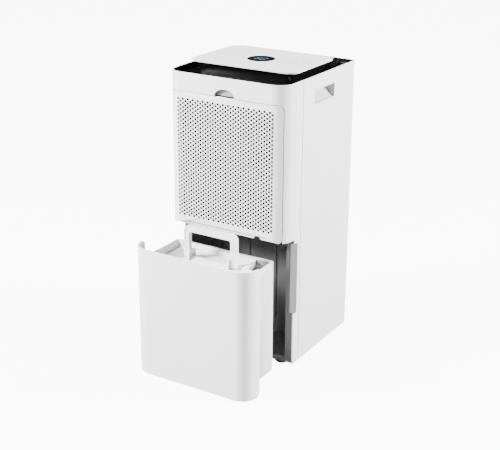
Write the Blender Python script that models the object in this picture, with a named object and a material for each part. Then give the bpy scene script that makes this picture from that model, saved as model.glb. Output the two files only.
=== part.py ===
"""Portable compressor dehumidifier with a drawn-out water tank, in metres, +Z up.

The body stands on the plane z = 0 with its grille facing -Y. The tank is modelled in its closed
position under an empty that holds it drawn out, and the handle stands up as it does when carried.
"""

import math

import bmesh
import bpy
from mathutils import Matrix, Vector

MM = 0.001

# ---- driving dimensions: body ------------------------------------------------------------------
BODY_WIDTH = 276 * MM
BODY_DEPTH = 296 * MM
SHELL_HEIGHT = 600 * MM
FOOT_HEIGHT = 12 * MM
FOOT_DIAMETER = 30 * MM
FRONT_RADIUS = 34 * MM
REAR_RADIUS = 12 * MM
WALL = 2.5 * MM
GAP = 0.3 * MM
SEAM = 0.6 * MM
FRONT_MOULDING_DEPTH = 69.5 * MM
FRAME_SETBACK = 45 * MM
PILLAR_WIDTH = 18.5 * MM
PILLAR_DEPTH = 16 * MM
SCOOP_LENGTH = 154 * MM
SCOOP_WIDTH = 13 * MM

# ---- carry recesses in the sides -----------------------------------------------------------------
CARRY_LENGTH = 84 * MM
CARRY_HEIGHT = 28 * MM
CARRY_SETBACK = 157 * MM
CARRY_DROP = 44 * MM
CARRY_DEPTH = 24 * MM

# ---- tank bay and tank ---------------------------------------------------------------------------
BAY_HEIGHT = 280 * MM
LINER_WALL = 2 * MM
TANK_OUT = 130 * MM
TANK_DROP = 11.5 * MM
COVER_HEIGHT = 275 * MM
COVER_WALL = 3 * MM
COVER_TOP_GAP = 3 * MM
COVER_EDGE_GAP = 2 * MM
TANK_CLEARANCE = 2 * MM
TANK_DEPTH = 127 * MM
TANK_HEIGHT = 236 * MM
TANK_LIFT = 14 * MM
TANK_RADIUS = 12 * MM
TANK_WALL = 2.5 * MM
COVER_PAD = 3 * MM
LID_FLANGE = 2.2 * MM
LID_SINK = 11 * MM
LID_FLOOR = 2 * MM
LID_BORDER = 5 * MM
INLET_LENGTH = 84 * MM
INLET_WIDTH = 44 * MM
FLOAT_LENGTH = 52 * MM

# ---- handle --------------------------------------------------------------------------------------
HANDLE_SPAN = 124 * MM
HANDLE_REACH = 65 * MM
HANDLE_BAR = 13 * MM
HANDLE_THICKNESS = 10 * MM
HANDLE_PIN = 6 * MM
PIN_CLEARANCE = 0.4 * MM
HANDLE_FROM_REAR = 53 * MM
EAR_WALL = 4 * MM

# ---- grille and filter ---------------------------------------------------------------------------
GRILLE_DROP = 39 * MM
GRILLE_MARGIN = 10 * MM
GRILLE_WALL = 3 * MM
GRILLE_RADIUS = 10 * MM
GRILLE_GAP = 1 * MM
LATCH_WIDTH = 52 * MM
LATCH_HEIGHT = 17 * MM
LATCH_DEPTH = 8 * MM
NOTCH_X = 74.5 * MM
NOTCH_DIAMETER = 16 * MM
FILTER_DEPTH = 5 * MM
FILTER_BORDER = 9 * MM

# ---- top -----------------------------------------------------------------------------------------
PANEL_RISE = 14 * MM
PANEL_THICKNESS = 4.5 * MM
PANEL_MARGIN = 15 * MM
PANEL_SETBACK = 56 * MM
PANEL_REAR_SETBACK = 64 * MM
PANEL_RADIUS = 21 * MM
PEDESTAL_RADIUS = 15 * MM
DISPLAY_DIAMETER = 55 * MM
DISPLAY_SETBACK = 83 * MM
TRAY_DEPTH = 15 * MM
TRAY_BORDER = 5 * MM
TRAY_FLOOR = 3 * MM
PEDESTAL_INSET = 12 * MM
LOUVRE_HEIGHT = 14 * MM
LOUVRE_SLOT = 4 * MM
LOUVRE_PITCH = 6 * MM

# ---- machinery -----------------------------------------------------------------------------------
COIL_DEPTH = 34 * MM
COIL_GAP = 10 * MM
COIL_SETBACK = 26 * MM
FAN_DIAMETER = 176 * MM
FAN_WIDTH = 36 * MM
FAN_CLEARANCE = 6 * MM
MOTOR_DIAMETER = 78 * MM
SHAFT_DIAMETER = 8 * MM
COMPRESSOR_DIAMETER = 112 * MM
COMPRESSOR_HEIGHT = 190 * MM
MOUNT_HEIGHT = 12 * MM
PIPE_DIAMETER = 8 * MM
SPOUT_DIAMETER = 14 * MM
DRAIN_DIAMETER = 14 * MM
DRAIN_INSET = 61 * MM
CAP_PROUD = 6 * MM
GLAND_DIAMETER = 14 * MM
GLAND_INSET = 55 * MM
DRIER_INSET = 55 * MM
SWITCH_INSET = 48 * MM

ROUND_STEPS = 32
CORNER_STEPS = 8

# ---- derived places ------------------------------------------------------------------------------
# The origin is on the floor, under the middle of the whole with its tank drawn out.
HALF_W = BODY_WIDTH / 2
FRONT_Y = (TANK_OUT - BODY_DEPTH - CAP_PROUD) / 2
BACK_Y = FRONT_Y + BODY_DEPTH
SHELL_BOTTOM = FOOT_HEIGHT
RIM_Z = SHELL_BOTTOM + SHELL_HEIGHT
SEAM_Y = FRONT_Y + FRONT_MOULDING_DEPTH
FRAME_Y = FRONT_Y + FRAME_SETBACK
BAY_TOP = SHELL_BOTTOM + BAY_HEIGHT
BAY_HALF = HALF_W - PILLAR_WIDTH
TANK_HALF = BAY_HALF - TANK_CLEARANCE
COVER_TOP = BAY_TOP - COVER_TOP_GAP
COVER_BOTTOM = COVER_TOP - COVER_HEIGHT
TANK_BOTTOM = COVER_BOTTOM + TANK_LIFT
TANK_TOP = TANK_BOTTOM + TANK_HEIGHT
TANK_FRONT = FRONT_Y + COVER_WALL + COVER_PAD
TANK_REAR = TANK_FRONT + TANK_DEPTH
BAY_BACK = TANK_REAR + 2 * TANK_CLEARANCE
SLOPE = TANK_DROP / TANK_OUT
INNER_HALF = HALF_W - WALL - GAP
INNER_FRONT = FRONT_Y + WALL + GAP
INNER_BACK = BACK_Y - WALL - GAP
MID_Z = BAY_TOP + LINER_WALL + 6 * MM
MID_WALL = 2.5 * MM
GRILLE_TOP_Z = RIM_Z - GRILLE_DROP
GRILLE_HALF = HALF_W - GRILLE_MARGIN
GRILLE_BOTTOM_Z = BAY_TOP + 0.5 * MM
GRILLE_AXIS = (FRONT_Y + GRILLE_WALL, GRILLE_BOTTOM_Z + 1.5 * MM)
PANEL_TOP = RIM_Z + PANEL_RISE
PANEL_FRONT = FRONT_Y + PANEL_SETBACK
PANEL_BACK = BACK_Y - PANEL_REAR_SETBACK
PANEL_HALF = HALF_W - PANEL_MARGIN
DISPLAY_Y = PANEL_FRONT + DISPLAY_SETBACK
HANDLE_Y = TANK_REAR - HANDLE_FROM_REAR
LID_FLOOR_Z = TANK_TOP + GAP + LID_FLANGE - LID_SINK
HANDLE_Z = LID_FLOOR_Z + HANDLE_THICKNESS / 2 + 2 * MM
INLET_Y = HANDLE_Y - HANDLE_THICKNESS - INLET_WIDTH
SPOUT_Y = INLET_Y + INLET_WIDTH / 2
FLOOR_Z = SHELL_BOTTOM + 0.5 * MM
PAN_WALL = 3.5 * MM
COIL_FRONT = FRONT_Y + COIL_SETBACK
COIL_HALF = INNER_HALF - 24 * MM
TRAY_TOP = MID_Z + MID_WALL + GAP + 14 * MM
COIL_BOTTOM = TRAY_TOP - 4 * MM
COIL_TOP = GRILLE_TOP_Z - 20 * MM
COIL_ROWS = 5
CONDENSER_BOTTOM = MID_Z + MID_WALL + 8 * MM
SCROLL_BACK = INNER_BACK - 4 * MM
SCROLL_FRONT = SCROLL_BACK - FAN_WIDTH - 2 * FAN_CLEARANCE - 2 * LINER_WALL
SCROLL_RADIUS = FAN_DIAMETER / 2 + FAN_CLEARANCE + LINER_WALL
FAN_Z = MID_Z + MID_WALL + SCROLL_RADIUS + 8 * MM
DUCT_TOP = RIM_Z - TRAY_DEPTH - TRAY_FLOOR - 1 * MM
COMPRESSOR_X = -18 * MM
COMPRESSOR_Y = BAY_BACK + LINER_WALL + 16 * MM + COMPRESSOR_DIAMETER / 2
COMPRESSOR_Z = FLOOR_Z + PAN_WALL + MOUNT_HEIGHT + GAP
CARRY_Y = (FRONT_Y + CARRY_SETBACK - CARRY_LENGTH / 2, FRONT_Y + CARRY_SETBACK + CARRY_LENGTH / 2)
CARRY_Z = (RIM_Z - CARRY_DROP - CARRY_HEIGHT / 2, RIM_Z - CARRY_DROP + CARRY_HEIGHT / 2)
DRAIN = (DRAIN_INSET - HALF_W, BACK_Y, MID_Z + 16 * MM)
GLAND = (HALF_W - GLAND_INSET, BACK_Y, SHELL_BOTTOM + 40 * MM)
SWITCH_X = BAY_HALF - SWITCH_INSET
SWITCH_Z = TANK_TOP - 10 * MM
FLOAT_Y = TANK_REAR - 26 * MM
FLOAT_Z = LID_FLOOR_Z - LID_FLOOR - 16 * MM
PIPE_SIDE = COIL_HALF + PIPE_DIAMETER / 2 + 1 * MM
PIPE_HOLE_Y = BAY_BACK + LINER_WALL + PIPE_DIAMETER + 6 * MM
STUB_SPREAD = 20 * MM
# Half width, front and rear of the column that holds the panel up, and of the air outlet.
PEDESTAL = (PANEL_HALF - PEDESTAL_INSET, PANEL_FRONT + PEDESTAL_INSET, PANEL_BACK - PEDESTAL_INSET)
LOUVRE = (PANEL_HALF - 6 * MM, PEDESTAL[2] + 10 * MM, BACK_Y - WALL - TRAY_BORDER - 4 * MM)


# ---- making things -------------------------------------------------------------------------------
def clear_scene():
    for item in list(bpy.data.objects):
        bpy.data.objects.remove(item, do_unlink=True)


def material(name, colour, roughness, metallic=0.0):
    made = bpy.data.materials.new(name)
    made.use_nodes = True
    shader = made.node_tree.nodes["Principled BSDF"]
    shader.inputs["Base Color"].default_value = (*colour, 1.0)
    shader.inputs["Roughness"].default_value = roughness
    shader.inputs["Metallic"].default_value = metallic
    return made


def axis_empty(name, place):
    empty = bpy.data.objects.new(name, None)
    empty.empty_display_size = 0.02
    empty.location = place
    bpy.context.collection.objects.link(empty)
    return empty


def add(name, shape, finish, origin=(0, 0, 0), parent=None):
    """A named object from a bmesh drawn in its parent's frame, with its origin at `origin`."""
    bmesh.ops.translate(shape, verts=shape.verts, vec=-Vector(origin))
    bmesh.ops.recalc_face_normals(shape, faces=shape.faces)
    mesh = bpy.data.meshes.new(name)
    shape.to_mesh(mesh)
    shape.free()
    mesh.shade_smooth()
    mesh.set_sharp_from_angle(angle=math.radians(32))
    mesh.materials.append(finish)
    made = bpy.data.objects.new(name, mesh)
    bpy.context.collection.objects.link(made)
    made.parent = parent
    made.location = origin
    return made


def combine(target, shape, label, operation):
    """A Boolean on `target` with a hidden helper that moves with the same parent."""
    helper = add(f"{target.name}_{label}", shape, target.data.materials[0], parent=target.parent)
    helper.hide_render = True
    helper.display_type = "WIRE"
    modifier = target.modifiers.new(label, "BOOLEAN")
    modifier.operation = operation
    modifier.solver = "EXACT"
    modifier.object = helper


def cut(target, shape, label):
    combine(target, shape, label, "DIFFERENCE")


def join(target, shape, label):
    combine(target, shape, label, "UNION")


def keep(target, shape, label):
    combine(target, shape, label, "INTERSECT")


def arc(centre, radius, start, end, steps):
    """Points on a circle from `start` to `end` in degrees, both ends included."""
    turns = [math.radians(start + (end - start) * i / steps) for i in range(steps + 1)]
    return [(centre[0] + radius * math.cos(t), centre[1] + radius * math.sin(t)) for t in turns]


def rounded(x0, x1, y0, y1, front=0.0, back=None):
    """Rectangle outline with a radius on the two corners at y0 and on the two at y1."""
    back = front if back is None else back
    corners = [
        ((x0, y0), (1, 1), front, 180),
        ((x1, y0), (-1, 1), front, 270),
        ((x1, y1), (-1, -1), back, 0),
        ((x0, y1), (1, -1), back, 90),
    ]
    points = []
    for (x, y), (inward_x, inward_y), radius, start in corners:
        if radius <= 0:
            points.append((x, y))
            continue
        centre = (x + inward_x * radius, y + inward_y * radius)
        points += arc(centre, radius, start, start + 90, CORNER_STEPS)
    return points


def channel(half, front, end, radius, wall):
    """U-shaped outline: a wall round the front and both sides, open behind."""
    outer = [(-half, end)]
    outer += arc((-half + radius, front + radius), radius, 180, 270, CORNER_STEPS)
    outer += arc((half - radius, front + radius), radius, 270, 360, CORNER_STEPS)
    outer += [(half, end)]
    inside = radius - wall
    inner = [(half - wall, end)]
    inner += arc((half - radius, front + radius), inside, 360, 270, CORNER_STEPS)
    inner += arc((-half + radius, front + radius), inside, 270, 180, CORNER_STEPS)
    inner += [(-half + wall, end)]
    return outer + inner


def ellipse(centre, half_u, half_v, steps=ROUND_STEPS):
    turns = [2 * math.pi * i / steps for i in range(steps)]
    return [(centre[0] + half_u * math.cos(t), centre[1] + half_v * math.sin(t)) for t in turns]


def prism(outline, low, high, axis="Z"):
    """Closed solid from an outline in the plane across `axis`, from `low` to `high` along it."""
    lift = {
        "X": lambda u, v, w: (w, u, v),
        "Y": lambda u, v, w: (u, w, v),
        "Z": lambda u, v, w: (u, v, w),
    }[axis]
    shape = bmesh.new()
    base = shape.faces.new([shape.verts.new(lift(u, v, low)) for u, v in outline])
    raised = bmesh.ops.extrude_face_region(shape, geom=[base])["geom"]
    moved = [item for item in raised if isinstance(item, bmesh.types.BMVert)]
    bmesh.ops.translate(shape, verts=moved, vec=Vector(lift(0, 0, high - low)))
    bmesh.ops.recalc_face_normals(shape, faces=shape.faces)
    return shape


def box(x0, x1, y0, y1, z0, z1):
    low_x, high_x = sorted((x0, x1))
    return prism([(low_x, y0), (high_x, y0), (high_x, y1), (low_x, y1)], z0, z1)


def turned(profile, place, direction="Z", steps=ROUND_STEPS):
    """Solid of revolution from (radius, height) points that start and end on the axis."""
    shape = bmesh.new()
    verts = [shape.verts.new((radius, 0, height)) for radius, height in profile]
    edges = [shape.edges.new(pair) for pair in zip(verts, verts[1:])]
    bmesh.ops.spin(
        shape,
        geom=verts + edges,
        cent=(0, 0, 0),
        axis=(0, 0, 1),
        angle=2 * math.pi,
        steps=steps,
        use_merge=True,
    )
    bmesh.ops.remove_doubles(shape, verts=shape.verts, dist=0.01 * MM)
    aim = {
        "Z": Matrix.Identity(3),
        "Y": Matrix.Rotation(math.radians(-90), 3, "X"),
        "X": Matrix.Rotation(math.radians(90), 3, "Y"),
    }[direction]
    bmesh.ops.rotate(shape, verts=shape.verts, cent=(0, 0, 0), matrix=aim)
    bmesh.ops.translate(shape, verts=shape.verts, vec=Vector(place))
    bmesh.ops.recalc_face_normals(shape, faces=shape.faces)
    return shape


def rod(diameter, low, high, place, direction="Z", steps=16):
    radius = diameter / 2
    return turned([(0, low), (radius, low), (radius, high), (0, high)], place, direction, steps)


def smooth_route(points, each=4):
    """Catmull-Rom points through a route, so that a bent tube has no corners."""
    ends = [points[0]] + points + [points[-1]]
    ends = [Vector(p) for p in ends]
    route = []
    for i in range(len(points) - 1):
        a, b, c, d = ends[i : i + 4]
        for k in range(each):
            t = k / each
            part = 2 * b + (c - a) * t + (2 * a - 5 * b + 4 * c - d) * t**2
            route.append((part + (3 * b - a - 3 * c + d) * t**3) / 2)
    route.append(ends[-1])
    return route


def tube(name, points, diameter, finish):
    curve = bpy.data.curves.new(name, "CURVE")
    curve.dimensions = "3D"
    curve.bevel_depth = diameter / 2
    curve.bevel_resolution = 1
    curve.use_fill_caps = True
    route = smooth_route(points)
    spline = curve.splines.new("POLY")
    spline.points.add(len(route) - 1)
    for point, place in zip(spline.points, route):
        point.co = (*place, 1.0)
    curve.materials.append(finish)
    made = bpy.data.objects.new(name, curve)
    bpy.context.collection.objects.link(made)
    return made


clear_scene()
WHITE = material("gloss_white_abs", (0.84, 0.84, 0.83), 0.28)
TANK_WHITE = material("tank_white", (0.78, 0.78, 0.77), 0.35)
BLACK = material("piano_black", (0.006, 0.006, 0.007), 0.08)
LENS = material("display_lens_black", (0.004, 0.004, 0.005), 0.05)
GREY = material("bay_grey", (0.17, 0.17, 0.17), 0.5)
DARK = material("filter_dark", (0.03, 0.03, 0.03), 0.8)
RUBBER = material("rubber_black", (0.02, 0.02, 0.02), 0.7)
STEEL = material("zinc_steel", (0.55, 0.56, 0.57), 0.35, 0.9)
ALUMINIUM = material("coil_aluminium", (0.7, 0.71, 0.72), 0.35, 0.9)
COPPER = material("pipe_copper", (0.72, 0.33, 0.17), 0.3, 1.0)
ENAMEL = material("compressor_enamel", (0.015, 0.015, 0.017), 0.3)
BOARD = material("board_green", (0.02, 0.12, 0.05), 0.5)
FOAM = material("float_white", (0.8, 0.8, 0.8), 0.6)

TANK = axis_empty("tank_slide_axis", (0, -TANK_OUT, -TANK_DROP))


# ---- casing --------------------------------------------------------------------------------------
def make_front_shell():
    outline = channel(HALF_W, FRONT_Y, SEAM_Y - SEAM / 2, FRONT_RADIUS, WALL)
    shell = add("front_shell", prism(outline, SHELL_BOTTOM, RIM_Z), WHITE)
    filler_front = FRAME_Y + LINER_WALL + 2 * GAP
    for side, label in ((-1, "left"), (1, "right")):
        inner = side * (BAY_HALF + LINER_WALL + GAP)
        outer = side * (HALF_W - WALL / 2)
        block = box(inner, outer, filler_front, FRAME_Y + PILLAR_DEPTH, FLOOR_Z, BAY_TOP)
        join(shell, block, f"pillar_{label}")
    mouth = box(-BODY_WIDTH, BODY_WIDTH, FRONT_Y - WALL, FRAME_Y, 0, BAY_TOP)
    cut(shell, mouth, "bay_mouth")
    half = GRILLE_HALF + GRILLE_GAP
    latch_base = GRILLE_TOP_Z + GRILLE_GAP
    window = rounded(-half, half, BAY_TOP - WALL, latch_base, 0, GRILLE_RADIUS + GRILLE_GAP)
    cut(shell, prism(window, FRONT_Y - WALL, FRONT_Y + FRONT_RADIUS / 2, "Y"), "grille_window")
    half = LATCH_WIDTH / 2
    cup_half = half + WALL
    cup = box(
        -cup_half,
        cup_half,
        FRONT_Y + WALL / 2,
        FRONT_Y + LATCH_DEPTH + WALL,
        latch_base + 0.5 * MM,
        latch_base + LATCH_HEIGHT + 1.5 * MM,
    )
    join(shell, cup, "latch_cup")
    recess = [(-half, latch_base - WALL), (half, latch_base - WALL)]
    recess += ellipse((0, latch_base), half, LATCH_HEIGHT)[: ROUND_STEPS // 2 + 1]
    cut(shell, prism(recess, FRONT_Y - WALL, FRONT_Y + LATCH_DEPTH, "Y"), "latch_recess")
    for side, label in ((-1, "left"), (1, "right")):
        cut(shell, scoop(side), f"scoop_{label}")


def scoop(side):
    """Wedge that takes the frame's outer corner away, so that fingers reach behind the cover."""
    top = BAY_TOP - 10 * MM
    outline = [
        (side * (HALF_W - SCOOP_WIDTH), FRAME_Y - 1 * MM),
        (side * (HALF_W + 1 * MM), FRAME_Y - 1 * MM),
        (side * (HALF_W + 1 * MM), FRAME_Y + SCOOP_WIDTH + 1 * MM),
    ]
    return prism(outline, top - SCOOP_LENGTH, top)


def make_rear_shell():
    front = SEAM_Y + SEAM / 2
    outline = channel(HALF_W, -BACK_Y, -front, REAR_RADIUS, WALL)
    outline = [(-x, -y) for x, y in outline]
    shell = add("rear_shell", prism(outline, SHELL_BOTTOM, RIM_Z), WHITE)
    for side, label in ((-1, "left"), (1, "right")):
        near, far = CARRY_Y
        low, high = CARRY_Z
        opening = box(side * (HALF_W - 2 * WALL), side * (HALF_W + WALL), near, far, low, high)
        cut(shell, opening, f"carry_{label}")
    cut(shell, rod(DRAIN_DIAMETER + 2 * GAP, -2 * WALL, 2 * WALL, DRAIN, "Y", 24), "drain_hole")
    cut(shell, rod(GLAND_DIAMETER, -2 * WALL, 2 * WALL, GLAND, "Y", 24), "gland_hole")


def make_carry_cup(side, name):
    wall = 2 * MM
    outer = side * (HALF_W - WALL - GAP)
    inner = side * (HALF_W - CARRY_DEPTH - wall)
    near, far = CARRY_Y
    low, high = CARRY_Z
    cup = add(name, box(inner, outer, near - wall, far + wall, low - wall, high + wall), WHITE)
    pocket = [
        (side * (HALF_W + wall), low + 1 * MM),
        (side * (HALF_W + wall), high),
        (side * (HALF_W - CARRY_DEPTH), high),
        (side * (HALF_W - CARRY_DEPTH), high - 5 * MM),
        (side * (HALF_W - WALL - GAP - 3 * MM), low + 1 * MM),
    ]
    cut(cup, prism(pocket, near, far, "Y"), "pocket")


def make_base_pan():
    narrow = BAY_HALF + LINER_WALL - 1 * MM
    step = FRAME_Y + PILLAR_DEPTH + 2 * GAP
    front = FRAME_Y + 1 * MM
    outline = [(-narrow, front), (narrow, front), (narrow, step), (INNER_HALF, step)]
    outline += rounded(-INNER_HALF, INNER_HALF, step, INNER_BACK, 0, REAR_RADIUS - WALL)[2:]
    outline += [(-INNER_HALF, step), (-narrow, step)]
    pan = add("base_pan", prism(outline, FLOOR_Z, FLOOR_Z + PAN_WALL), GREY)
    for i, (x, y) in enumerate(mount_places()):
        boss = rod(18 * MM, -1 * MM, 0.8 * MM, (x, y, FLOOR_Z + PAN_WALL), "Z", 16)
        join(pan, boss, f"boss_{i}")
    for i, (x, y) in enumerate(foot_places()):
        cut(pan, rod(6.6 * MM, -1 * MM, 2 * PAN_WALL, (x, y, FLOOR_Z), "Z", 12), f"foot_hole_{i}")


def foot_places():
    front = FRAME_Y + 26 * MM
    back = BACK_Y - 34 * MM
    inset = HALF_W - 40 * MM
    return [(-inset, front), (inset, front), (-inset, back), (inset, back)]


def make_feet():
    radius = FOOT_DIAMETER / 2
    top = FLOOR_Z - GAP
    profile = [(0, 0), (radius - 2 * MM, 0), (radius, 2 * MM), (radius - 1.5 * MM, top), (3 * MM, top)]
    profile += [(3 * MM, FLOOR_Z + PAN_WALL - GAP), (0, FLOOR_Z + PAN_WALL - GAP)]
    names = ("foot_front_left", "foot_front_right", "foot_rear_left", "foot_rear_right")
    for name, (x, y) in zip(names, foot_places()):
        add(name, turned(profile, (x, y, 0), "Z", 24), RUBBER, origin=(x, y, 0))


def bay_floor(y):
    """Height of the bay floor, which falls to the front as the tank does when it is drawn out."""
    return TANK_BOTTOM - 1 * MM - (TANK_REAR - y) * SLOPE


def make_bay_liner():
    outer = BAY_HALF + LINER_WALL
    back = BAY_BACK + LINER_WALL
    ceiling = BAY_TOP + 1 * MM
    floor_under = FLOOR_Z + PAN_WALL + GAP
    shape = box(-outer, outer, FRAME_Y + GAP, back, floor_under, ceiling + LINER_WALL)
    liner = add("bay_liner", shape, GREY)
    front = FRAME_Y - 10 * MM
    room = [
        (front, bay_floor(front)),
        (BAY_BACK, bay_floor(BAY_BACK)),
        (BAY_BACK, ceiling),
        (front, ceiling),
    ]
    cut(liner, prism(room, -BAY_HALF, BAY_HALF, "X"), "room")
    shelf = box(
        -outer + 1 * MM,
        outer - 1 * MM,
        FRONT_Y + 18 * MM,
        FRAME_Y + 6 * MM,
        ceiling + 0.3 * MM,
        ceiling + LINER_WALL - 0.3 * MM,
    )
    join(liner, shelf, "front_shelf")
    for side, label in ((-1, "left"), (1, "right")):
        flange = box(
            side * (BAY_HALF + 1 * MM),
            side * INNER_HALF,
            FRAME_Y + GAP + 0.2 * MM,
            FRAME_Y + GAP + LINER_WALL,
            floor_under + 1 * MM,
            BAY_TOP - 1 * MM,
        )
        join(liner, flange, f"flange_{label}")
        cut(liner, scoop(side), f"scoop_{label}")
    hole = rod(SPOUT_DIAMETER + 2 * MM, -20 * MM, 20 * MM, (0, SPOUT_Y, ceiling), "Z", 24)
    cut(liner, hole, "spout_hole")
    slot = box(
        SWITCH_X - 4 * MM,
        SWITCH_X + 4 * MM,
        BAY_BACK - 1 * MM,
        back + 1 * MM,
        SWITCH_Z - 37 * MM,
        SWITCH_Z - 14 * MM,
    )
    cut(liner, slot, "switch_slot")


def make_mid_plate():
    near = FRONT_Y + 16 * MM
    outline = rounded(-INNER_HALF, INNER_HALF, near, INNER_BACK, FRONT_RADIUS, REAR_RADIUS)
    plate = add("mid_plate", prism(outline, MID_Z, MID_Z + MID_WALL), GREY)
    hole = rod(SPOUT_DIAMETER + 2 * MM, -9 * MM, 9 * MM, (0, SPOUT_Y, MID_Z), "Z", 24)
    cut(plate, hole, "spout_hole")
    for side, label in ((1, "suction_hole"), (-1, "discharge_hole")):
        place = (side * PIPE_SIDE, PIPE_HOLE_Y, MID_Z)
        cut(plate, rod(PIPE_DIAMETER + 6 * MM, -9 * MM, 9 * MM, place, "Z", 16), label)


# ---- top -----------------------------------------------------------------------------------------
def make_top_tray():
    top = RIM_Z - 0.6 * MM
    bottom = RIM_Z - TRAY_DEPTH - TRAY_FLOOR
    half = INNER_HALF
    outline = rounded(-half, half, INNER_FRONT, INNER_BACK, FRONT_RADIUS - WALL, REAR_RADIUS - WALL)
    tray = add("top_tray", prism(outline, bottom, top), BLACK)
    half -= TRAY_BORDER
    border = TRAY_BORDER
    outline = rounded(
        -half,
        half,
        INNER_FRONT + border,
        INNER_BACK - border,
        FRONT_RADIUS - WALL - border,
        REAR_RADIUS - WALL - border / 2,
    )
    cut(tray, prism(outline, bottom + TRAY_FLOOR, top + border), "dish")
    half, near, far = PEDESTAL
    ring_top = PANEL_TOP - PANEL_THICKNESS - GAP
    column = rounded(-half, half, near, far, PEDESTAL_RADIUS)
    join(tray, prism(column, bottom + 1 * MM, ring_top), "pedestal")
    wall = 3 * MM
    well = rounded(-half + wall, half - wall, near + wall, far - wall, PEDESTAL_RADIUS - wall)
    cut(tray, prism(well, bottom - wall, ring_top + wall), "pedestal_well")
    half, near, far = LOUVRE
    cut(tray, box(-half, half, near, far, bottom - wall, bottom + 2 * TRAY_FLOOR), "outlet_window")


def make_outlet_louvre():
    half, near, far = LOUVRE
    half, near, far = half - GAP, near + GAP, far - GAP
    bottom = RIM_Z - TRAY_DEPTH - TRAY_FLOOR
    shape = box(-half, half, near, far, bottom, bottom + LOUVRE_HEIGHT)
    louvre = add("outlet_louvre", shape, BLACK)
    count = int((2 * half - 6 * MM) / LOUVRE_PITCH)
    low, high = bottom - 1 * MM, bottom + LOUVRE_HEIGHT + 1 * MM
    for i in range(count):
        left = (i - (count - 1) / 2) * LOUVRE_PITCH - LOUVRE_SLOT / 2
        slot = box(left, left + LOUVRE_SLOT, near + 2 * MM, far - 2 * MM, low, high)
        cut(louvre, slot, f"slot_{i}")


def make_control_panel():
    low, high = PANEL_TOP - PANEL_THICKNESS, PANEL_TOP
    outline = rounded(-PANEL_HALF, PANEL_HALF, PANEL_FRONT, PANEL_BACK, PANEL_RADIUS)
    panel = add("control_panel", prism(outline, low, high), WHITE)
    place = (0, DISPLAY_Y, low)
    through = 2 * PANEL_THICKNESS
    cut(panel, rod(DISPLAY_DIAMETER + 2 * GAP, -through, through, place, "Z", 48), "display_hole")
    lens = rod(DISPLAY_DIAMETER, 1 * MM, PANEL_THICKNESS - 0.2 * MM, place, "Z", 48)
    add("display_lens", lens, LENS, origin=place)


def make_control_board():
    half, near, far = PEDESTAL
    margin = 8 * MM
    top = PANEL_TOP - PANEL_THICKNESS - 6 * MM
    board = add(
        "control_board",
        box(-half + margin, half - margin, near + margin, far - margin, top - 1.6 * MM, top),
        BOARD,
    )
    module = rod(DISPLAY_DIAMETER - 6 * MM, -0.5 * MM, 4.5 * MM, (0, DISPLAY_Y, top), "Z", 24)
    join(board, module, "display_module")
    for i, x in enumerate((-0.5 * half, 0.5 * half)):
        front = near + 20 * MM
        block = box(x - 12 * MM, x + 12 * MM, front, front + 14 * MM, top - 9 * MM, top - 1 * MM)
        join(board, block, f"connector_{i}")


# ---- grille and filter ---------------------------------------------------------------------------
GRILLE = axis_empty("grille_tilt_axis", (0, *GRILLE_AXIS))


def hung(name, shape, finish):
    """An object on the grille's hinge, drawn in world coordinates."""
    bmesh.ops.translate(shape, verts=shape.verts, vec=-Vector(GRILLE.location))
    return add(name, shape, finish, parent=GRILLE)


def hung_tool(target, shape, label, operation):
    bmesh.ops.translate(shape, verts=shape.verts, vec=-Vector(GRILLE.location))
    combine(target, shape, label, operation)


def make_grille():
    outline = channel(HALF_W, FRONT_Y, FRONT_Y + FRONT_RADIUS + 1 * MM, FRONT_RADIUS, GRILLE_WALL)
    low, high = GRILLE_BOTTOM_Z, GRILLE_TOP_Z
    grille = hung("grille_panel", prism(outline, low - WALL, high + WALL), WHITE)
    edge = rounded(-GRILLE_HALF, GRILLE_HALF, low, high, 0.6 * GRILLE_RADIUS, GRILLE_RADIUS)
    edge = prism(edge, FRONT_Y - WALL, FRONT_Y + FRONT_RADIUS / 2, "Y")
    hung_tool(grille, edge, "edge", "INTERSECT")
    notch = rod(NOTCH_DIAMETER, -WALL, 3 * WALL, (NOTCH_X, FRONT_Y, low), "Y", 24)
    hung_tool(grille, notch, "notch", "DIFFERENCE")
    half = HALF_W - FRONT_RADIUS
    near = FRONT_Y + GRILLE_WALL + GAP
    low, high = low + 6 * MM, high - 6 * MM
    frame = hung("filter_frame", box(-half, half, near, near + FILTER_DEPTH, low, high), DARK)
    inset = half - FILTER_BORDER
    low, high = low + FILTER_BORDER, high - FILTER_BORDER
    hole = box(-inset, inset, near - GAP, near + 2 * FILTER_DEPTH, low, high)
    hung_tool(frame, hole, "opening", "DIFFERENCE")
    inset -= GAP
    middle = near + FILTER_DEPTH / 2
    mesh = box(-inset, inset, middle - 0.5 * MM, middle + 0.5 * MM, low + GAP, high - GAP)
    hung("filter_mesh", mesh, DARK)


# ---- tank, drawn in its closed position ----------------------------------------------------------
def make_tank_cover():
    end = FRAME_Y - COVER_EDGE_GAP
    outline = channel(HALF_W, FRONT_Y, end, FRONT_RADIUS, COVER_WALL)
    cover = add("tank_cover", prism(outline, COVER_BOTTOM, COVER_TOP), WHITE, parent=TANK)
    radius = 9 * MM
    side = [(FRONT_Y - radius, COVER_BOTTOM - radius), (end + radius, COVER_BOTTOM - radius)]
    side += [(end + radius, COVER_BOTTOM + radius)]
    side += arc((end - radius, COVER_BOTTOM + radius), radius, 0, -90, CORNER_STEPS)
    side += [(FRONT_Y - radius, COVER_BOTTOM)]
    cut(cover, prism(side, -BODY_WIDTH, BODY_WIDTH, "X"), "lower_edge")
    for sign, label in ((-1, "left"), (1, "right")):
        pad = box(
            sign * 50 * MM,
            sign * 70 * MM,
            FRONT_Y + COVER_WALL / 2,
            TANK_FRONT - GAP,
            TANK_BOTTOM + 30 * MM,
            TANK_TOP - 60 * MM,
        )
        join(cover, pad, f"pad_{label}")


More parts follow.
